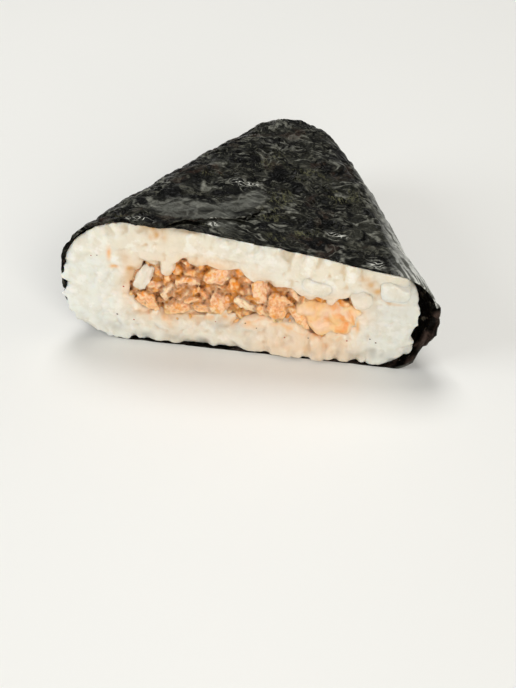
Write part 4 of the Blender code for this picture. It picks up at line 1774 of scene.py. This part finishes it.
def make_nori_finish():
    """Felted, near black seaweed with painted light: highlit wisps, shaded holes, a sheen on a calm patch and
    the shoulder.
    """
    finish = Finish("nori_sheet", 0.34, specular_ior_level=0.08)
    times = partial(finish.sum, "MULTIPLY")
    lively = finish.attribute("lively")
    cloudy = finish.noise(130, 5, distortion=0.6, shift=(8, 8, 1))
    base = finish.mix(finish.ramp(finish.noise(170, 3), 0.35, 0.7), colour(3, 4, 2), colour(20, 20, 14))
    # grey swaths: painted sheen where the felt is smoother
    base = finish.mix(finish.ramp(cloudy, 0.48, 0.63, 0.0, 0.75), base, colour(48, 48, 41))
    # wisps: the fibres' lighter colour with painted highlight, paler on top
    long_curls = strands(finish, swept(finish, 110, 16 * MM), 400, (0.2, 1, 1))
    short_curls = strands(finish, swept(finish, 300, 6 * MM, shift=(3, 1, 2)), 850, (0.3, 1, 1))
    thick = finish.ramp(finish.noise(170, 3, distortion=0.8, shift=(1, 7, 3)), 0.42, 0.58)
    lint = finish.ramp(finish.noise(1300, 4, distortion=0.5), 0.36, 0.60, 0.3, 1.0)
    pale = times(times(finish.ramp(long_curls, 0.4, 1.0), finish.ramp(thick, 0.0, 1.0, 0.0, 0.95)), lint)
    base = finish.mix(times(pale, finish.attribute("above")), base, colour(128, 128, 118))
    pale = times(finish.ramp(short_curls, 0.5, 1.0), finish.ramp(thick, 1.0, 0.0, 0.1, 0.5))
    base = finish.mix(times(pale, lint), base, colour(112, 111, 98))
    brown = finish.ramp(finish.noise(140, 3, distortion=0.6, shift=(9, 4, 2)), 0.56, 0.68, 0.0, 0.7)
    base = finish.mix(times(brown, lint), base, colour(54, 38, 30))
    # holes: painted shade in the felt's cavities
    holes = finish.ramp(finish.noise(230, 4, distortion=1.2, shift=(6, 3, 9)), 0.49, 0.40)
    base = finish.mix(holes, base, colour(2, 2, 1))
    # olive tufts of fine blades
    tufts = finish.ramp(finish.noise(260, 3, distortion=1.0, shift=(5, 2, 1)), 0.44, 0.62)
    tufts = times(finish.attribute("tuft"), tufts)
    blades = strands(finish, swept(finish, 260, 2 * MM, shift=(7, 7, 7)), 1900, (0.18, 1, 1), 2.0, turn=1.1)
    base = finish.mix(times(tufts, 0.4), base, colour(14, 14, 8))
    base = finish.mix(times(finish.ramp(blades, 0.6, 1.0), times(tufts, 0.75)), base, colour(108, 107, 78))
    # the calm patch: a painted grey sheen, with painted shade in slanting creases and painted wisps over it
    uneven = times(finish.sum("SUBTRACT", cloudy, 0.5), 1.6)
    calm = finish.sum("ADD", finish.sum("SUBTRACT", 1.0, lively), uneven)
    slants = strands(finish, swept(finish, 120, 5 * MM), 300, (0.25, 1, 1), 3.0, turn=-0.55)
    smooth = finish.mix(finish.ramp(slants, 0.35, 0.95, 0.0, 0.8), colour(66, 66, 60), colour(106, 107, 100))
    smooth = finish.mix(finish.ramp(slants, 0.16, 0.0, 0.0, 0.85), smooth, colour(22, 22, 18))
    smooth = finish.mix(times(finish.ramp(long_curls, 0.6, 1.0), 0.5), smooth, colour(128, 128, 120))
    calm = times(finish.ramp(calm, 0.30, 0.60, 0.0, 0.85), finish.ramp(lint, 0.3, 1.0, 0.6, 1.0))
    base = finish.mix(calm, base, smooth)
    # the right shoulder: a painted pale sheen, with streaks along it
    streaks = finish.noise(500, 3, shift=(2, 9, 4))
    runs = strands(finish, finish.where, 700, (0.1, 1, 1), 3.0, turn=1.05)
    shine = finish.mix(finish.ramp(runs, 0.1, 0.9), colour(110, 111, 104), colour(216, 217, 210))
    amount = times(finish.attribute("silver"), finish.ramp(streaks, 0.35, 0.6, 0.5, 1.0))
    base = finish.mix(amount, base, shine)
    # bright glints on a few crests
    glints = times(finish.ramp(short_curls, 0.6, 0.95), finish.attribute("glint"))
    base = finish.mix(glints, base, colour(206, 206, 196))
    # the inside of the sheet: dark brown with reddish patches, and pale specks as painted highlights
    patches = finish.ramp(finish.noise(200, 3, distortion=0.8), 0.48, 0.66)
    lining = finish.mix(patches, colour(13, 10, 7), colour(74, 60, 54))
    lining = finish.mix(finish.ramp(finish.noise(700, 3), 0.62, 0.70, 0.0, 0.8), lining, colour(120, 112, 98))
    base = finish.mix(finish.attribute("inner"), base, lining)
    rough = finish.ramp(finish.noise(420, 3), 0.3, 0.7, 0.26, 0.48)
    tilt = finish.bump(short_curls, 0.10 * MM, strength=lively)
    tilt = finish.bump(long_curls, 0.24 * MM, tilt, strength=lively)
    tilt = finish.bump(finish.noise(300, 3, distortion=0.6), 0.9 * MM, tilt, strength=lively)
    finish.set(finish.shader, base_color=base, normal=tilt, roughness=rough)
    return finish.material


nori_finish = make_nori_finish()
print("nodes in the nori's finish:", len(nori_finish.node_tree.nodes))

# %% [markdown]
# ## Wrinkles
#
# The sheet has been softened by the wet rice, so it drapes over the grains and has shrunk into small
# creases. A second tree moves a fine mesh along its normals by two noises: rounded bumps, and sharp
# ridges where a noise passes its middle value. A value on the mesh says how free the sheet is at each
# place, so the flat underside stays flat.

# %% Wrinkling tree


def make_wrinkling_tree():
    """Move a fine mesh along its normals by bumps and creases."""
    tree = Tree(
        "wrinkling",
        Bump_Size="Float",
        Bump_Depth="Float",
        Crease_Size="Float",
        Crease_Depth="Float",
        Material="Material",
    )
    inputs = tree.inputs
    where = tree.add("GeometryNodeInputPosition").outputs[0]

    def centred_noise(size, detail, distortion):
        scale = tree.sum("DIVIDE", 1.0, size)
        node = tree.add("ShaderNodeTexNoise", vector=where, scale=scale, detail=detail, distortion=distortion)
        return tree.sum("SUBTRACT", node.outputs["Fac"], 0.5)

    bumps = tree.sum("MULTIPLY", centred_noise(inputs["Bump Size"], 2.0, 0.3), inputs["Bump Depth"])
    middle = tree.sum("ABSOLUTE", centred_noise(inputs["Crease Size"], 3.0, 1.2), 0.0)
    ridge = tree.sum("SUBTRACT", 1.0, tree.sum("MULTIPLY", middle, 9.0))
    ridge = tree.sum("MAXIMUM", ridge, 0.0)
    creases = tree.sum("MULTIPLY", tree.sum("POWER", ridge, 1.5), inputs["Crease Depth"])
    free = tree.add("GeometryNodeInputNamedAttribute", {"data_type": "FLOAT"}, name="free").outputs[0]
    height = tree.sum("MULTIPLY", tree.sum("ADD", bumps, creases), free)
    normal = tree.add("GeometryNodeInputNormal").outputs[0]
    offset = tree.add("ShaderNodeVectorMath", {"operation": "SCALE"}, vector=normal, scale=height)
    moved = tree.add("GeometryNodeSetPosition", geometry=inputs["Geometry"], offset=offset.outputs[0])
    return tree.finish(moved.outputs[0], inputs["Material"])


wrinkling = make_wrinkling_tree()
WRINKLES = {
    "Bump Size": 4.5 * MM,
    "Bump Depth": 1.5 * MM,
    "Crease Size": 7.0 * MM,
    "Crease Depth": 0.5 * MM,
    "Material": nori_finish,
}
print("nodes in the wrinkling tree:", len(wrinkling.nodes))

# %% [markdown]
# ## The wrap
#
# The wrap is one sheet round the rice, open only at the cut. It is drawn as rings from the cut to the
# corner, with more points on top, where it is seen. Its edge at the cut is ragged, and at the thin
# end it stands off the rice like an ear.

# %% The wrap
BELOW_POINTS = 96
ABOVE_POINTS = 190
BODY_ROWS = 100
NOSE_ROWS = 26
EAR_REACH = 3.6 * MM
EAR_DEPTH = 13 * MM
EAR_LOW = 1.5 * MM
EAR_HIGH = 20 * MM
RAGGED = 0.55 * MM
RAGGED_DEPTH = 4 * MM
COVERED_BACK = 1.5 * MM  # where the rice swells out over the wrap's edge
AHEAD = 0.1 * MM  # how far the wrap's edge stands in front of the cut
HELD_DEPTH = 4 * MM  # the knife has pressed the wrap flat near the cut
WRAP_INSET = 0.3 * MM  # leaves room for the wrinkles
TORN_BACK = 2.2 * MM  # how far the low part of the ear is torn back

# Marks on the top: along the cut, behind it, half width and half depth in millimetres. The smooth
# patch and its arm also have a turn.
# the smooth patch is less crumpled, and the finish paints a grey sheen on it
CALM = [(-8, 7.5, 9.5, 5.0, -0.1), (-2.5, 15.5, 7.0, 3.2, 0.9)]
GLINTS = [
    (-3.0, 22.6, 2.4, 0.8), (16.4, 10.2, 1.6, 0.7), (24.6, 2.0, 1.2, 1.2),
    (-18.6, 1.4, 2.2, 0.8), (-5.4, 4.6, 1.0, 1.4), (28.2, 12.0, 0.8, 2.2),
]
TUFTS = [
    (4.7, 19.0, 2.6, 3.4), (3.4, 12.6, 2.2, 2.6), (6.2, 3.6, 2.0, 1.6), (13.0, 10.0, 2.4, 1.6),
    (-5.6, 4.2, 1.8, 1.4), (-9.5, 24.0, 2.0, 2.0), (16.0, 24.0, 3.0, 3.0), (11.0, 7.0, 2.0, 1.4),
    (-21.0, 3.0, 2.0, 2.0), (0.0, 34.0, 3.0, 3.0), (8.0, 30.0, 3.5, 2.0),
]


def flare(x, y, z):
    """The wrap stands off the rice at the thin end."""
    up = np.sin(np.pi * np.clip((z - EAR_LOW) / (EAR_HIGH - EAR_LOW), 0, 1))
    return x + np.where(x > 0.3 * CUT_HALF_WIDTH, EAR_REACH * up * (1 - smooth_step(y / EAR_DEPTH)), 0)


def ring_depths(rows, nose_rows):
    """Depths of the rings, closer together on the nose."""
    body = np.linspace(0, DEPTH - NOSE_DEPTH, rows, endpoint=False)
    nose = DEPTH - NOSE_DEPTH * (1 - np.sin(0.5 * np.pi * np.arange(nose_rows) / nose_rows))
    return np.concatenate([body, nose])


def share_across(points):
    """How far across the half each place lies, from -1 on its left side to 1 on its right."""
    x, y, _ = from_cut(points).T
    return x / (CUT_HALF_WIDTH * np.maximum(narrowing(y), 1e-6))


def liveliness(points):
    """How crumpled the felt is: less on the smooth patch and where it is stretched round the right side."""
    x, y, _ = from_cut(points).T
    calm = 0.45 * smooth_step((share_across(points) - 0.78) / 0.14)
    for along, behind, wide, deep, turn in CALM:
        across, back = x / MM - along, y / MM - behind
        u = math.cos(turn) * across + math.sin(turn) * back
        v = math.cos(turn) * back - math.sin(turn) * across
        calm = np.maximum(calm, 0.85 * np.exp(-((u / wide) ** 2) - (v / deep) ** 2))
    return 1 - calm


def shoulder(points):
    """Where the sheet is stretched round the right shoulder: it wrinkles less and gets a painted sheen, most
    of all near the cut.
    """
    _, y, z = from_cut(points).T
    across = share_across(points)
    near = 0.5 + 0.5 * (1 - smooth_step((y - 10 * MM) / (16 * MM)))
    band = smooth_step((across - 0.81) / 0.13) * smooth_step((z - 13.5 * MM) / (2 * MM))
    return 0.95 * near * band * (1 - smooth_step((y - 40 * MM) / (8 * MM)))


def finish_values(data):
    """Store what the nori's finish reads: lively, the painted light (above, silver, glint), inner and tuft.
    """
    places = coordinates(data)
    x, y, z = from_cut(places).T
    centre = in_place(0.8 * x, np.minimum(y, 0.6 * DEPTH), np.full(len(x), 0.5 * HEIGHT_MIDDLE))
    facing = np.einsum("ij,ij->i", places - centre, coordinates(data, "normal"))
    store(data, "lively", liveliness(places))
    # painted highlight: the long wisps are paler on the top than on the sides
    store(data, "above", 0.45 + 0.55 * smooth_step((z - 12 * MM) / (5 * MM)))
    # painted sheen round the right shoulder, and a painted bright rim along the cut edge there
    rim = (y < 0.35 * MM) & (x > 0.97 * CUT_HALF_WIDTH) & (z > 9 * MM)
    store(data, "silver", np.maximum(shoulder(places), 0.6 * rim))
    store(data, "inner", (facing < 0) & (y > 0.3 * MM))
    for name, marks in (("glint", GLINTS), ("tuft", TUFTS)):
        share = np.zeros(len(x))
        for along, behind, wide, deep in marks:
            away = ((x / MM - along) / wide) ** 2 + ((y / MM - behind) / deep) ** 2
            share = np.maximum(share, np.exp(-away))
        store(data, name, smooth_step(1.6 * share) * (z > 10 * MM))


def wrap_ring(y):
    """The points of the sheet at depth y. Near the cut its edge is ragged, covered or torn back."""
    x, z = section(y, WRAP_INSET, BELOW_POINTS, ABOVE_POINTS).T
    z = z - WRAP_INSET * (1 - smooth_step(z / (2 * MM)))  # the underside lies on the table
    x = flare(x, y, z)
    spots = np.stack([x, 0 * x, z], 1)
    ragged = noise_at(spots, 2.5 * MM, 7) + 0.5 * noise_at(spots, 0.9 * MM, 2)
    covered = smooth_step((-x - 22 * MM) / (8 * MM)) * smooth_step((18 * MM - z) / (6 * MM))
    torn = smooth_step((x - 0.97 * CUT_HALF_WIDTH) / (1.5 * MM))
    torn = torn * smooth_step((14.5 * MM - z) / (1.5 * MM))
    back = 0.3 * RAGGED * ragged + (COVERED_BACK + RAGGED * ragged) * covered
    back = back + (TORN_BACK + 1.6 * RAGGED * ragged) * torn
    fade = 1 - smooth_step(y / RAGGED_DEPTH)
    return in_place(x, y + (np.maximum(back, 0) - AHEAD) * fade, z)


def make_wrap():
    """The sheet as one fine mesh, still smooth."""
    rows = [wrap_ring(y) for y in ring_depths(BODY_ROWS, NOSE_ROWS)]
    count = len(rows[0])
    last = (len(rows) - 1) * count
    tip = in_place(0, DEPTH - WRAP_INSET, 0.5 * HEIGHT_MIDDLE - 0.5 * CORNER_SAG)
    points = np.concatenate(rows + [tip[None]])
    faces = []
    for first in range(0, last, count):
        faces += band_faces(count, first, first + count)
    faces += [(last + i, last + (i + 1) % count, len(points) - 1) for i in range(count)]
    data = mesh_from("wrap", points, faces)
    above = smooth_step((points[:, 2] - 0.2 * MM) / (3 * MM))
    held = 0.3 + 0.7 * smooth_step((points[:, 1] - CUT_Y) / HELD_DEPTH)
    store(data, "free", above * held * (0.4 + 0.6 * liveliness(points)) * (1 - 0.6 * shoulder(points)))
    data.shade_smooth()
    return data


def thicken(made, name, thickness):
    """Give a sheet its thickness, inwards."""
    solid = made.modifiers.new("thickness", "SOLIDIFY")
    solid.thickness = thickness
    solid.offset = -1
    return settle(made, name)


wrap = thicken(grown("wrap", make_wrap(), wrinkling, WRINKLES), "nori", SHEET)
outward(wrap.data)
finish_values(wrap.data)
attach(wrap, "root")
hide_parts("nori")
print("faces of the wrap:", len(wrap.data.polygons))

# %% [markdown]
# ## The overlap
#
# The sheet's two sides are folded over each other on top. The upper layer comes over from the left
# and ends in a free edge, which runs back from the cut at a slant and then towards the corner. It
# follows the same surface a little higher up, so it takes the same wrinkles and lies on the wrap.

# %% The upper layer
FLAP_EDGE = [  # along the cut and behind it, in millimetres
    (-12.5, 0), (-8.5, 3.1), (-4.1, 6.3), (-0.5, 8.4), (1.8, 14.1), (0.9, 21.4), (-1.5, 32), (-3.5, 46),
]
FLAP_RISE = 0.32 * MM
FLAP_CURL = 0.45 * MM
FLAP_FOOT = 5 * MM
FLAP_ACROSS = 90
FLAP_ROWS = 70
FLAP_BELOW = 300  # points of the outline it is picked from, underneath and back over the top
FLAP_ABOVE = 600
FLAP_SINKS = (10 * MM, 17 * MM)  # where its free edge goes back down into the wrap
SUNK = 0.4 * MM


def flap_line(y, limit):
    """The outline at depth y from the free edge at x = limit over the top and down the left side."""
    ring = section(y, WRAP_INSET, FLAP_BELOW, FLAP_ABOVE)
    x, z = ring.T
    above = np.arange(len(x)) > FLAP_BELOW
    over = above & (x < limit) & (z > 0.5 * HEIGHT_MIDDLE)
    side = (x < -0.5 * half_width(y, 0)) & (z > FLAP_FOOT) & (z <= 0.5 * HEIGHT_MIDDLE)
    return evenly(np.concatenate([ring[over], ring[side & above], ring[side & ~above]]), FLAP_ACROSS)


def flap_row(y, limit):
    """The points of the upper layer at depth y, raised above the outline."""
    line = flap_line(y, limit)
    share = np.arange(FLAP_ACROSS) / FLAP_ACROSS
    sinks = smooth_step((y - FLAP_SINKS[0]) / (FLAP_SINKS[1] - FLAP_SINKS[0]))
    rise = FLAP_RISE * smooth_step((1 - share) / 0.25) + FLAP_CURL * smooth_step(1 - share / 0.06)
    rise = (rise + SUNK) * smooth_step((1 - share) / 0.1) * (1 - sinks) - SUNK
    outwards = line - (0, 0.5 * HEIGHT_MIDDLE)
    tangent = np.gradient(line, axis=0)
    normal = np.stack([-tangent[:, 1], tangent[:, 0]], 1)
    normal /= np.linalg.norm(normal, axis=1)[:, None]
    normal *= np.sign(np.einsum("ij,ij->i", normal, outwards))[:, None]
    x, z = (line + normal * rise[:, None]).T
    ragged = RAGGED * noise_at(np.stack([x, 0 * x, z], 1), 2.0 * MM, 17)
    return in_place(x, y - AHEAD + ragged * (1 - smooth_step(y / RAGGED_DEPTH)), z)


def make_flap():
    """The upper layer, from low on the left side over the top to its free edge."""
    edge = through(FLAP_EDGE, 80)
    rows = []
    for y in np.linspace(0, FLAP_SINKS[1] + 2 * MM, FLAP_ROWS):
        wobble = 0.5 * MM * noise.noise(Vector((y / (2.2 * MM), 3, 1)))
        rows.append(flap_row(y, np.interp(y, edge[:, 1], edge[:, 0]) + wobble))
    points = np.concatenate(rows)
    faces = []
    for first in range(0, len(points) - FLAP_ACROSS, FLAP_ACROSS):
        faces += band_faces(FLAP_ACROSS, first, first + FLAP_ACROSS)[:-1]
    data = mesh_from("flap", points, faces)
    store(data, "free", 0.4 + 0.6 * liveliness(points))
    data.shade_smooth()
    return data


flap = thicken(grown("flap", make_flap(), wrinkling, WRINKLES), "nori_overlap", SHEET)
outward(flap.data)
finish_values(flap.data)
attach(flap, "root")
print("faces of the upper layer:", len(flap.data.polygons))

# %% [markdown]
# ## Clearing up
#
# Every piece is a plain mesh now, so the shelves and the two trees can go.

# %% Clear away the helpers
clear_shelf(grains)
clear_shelf(flakes)
bpy.data.node_groups.remove(strewing)
bpy.data.node_groups.remove(wrinkling)
print("meshes in the file:", len(bpy.data.meshes))
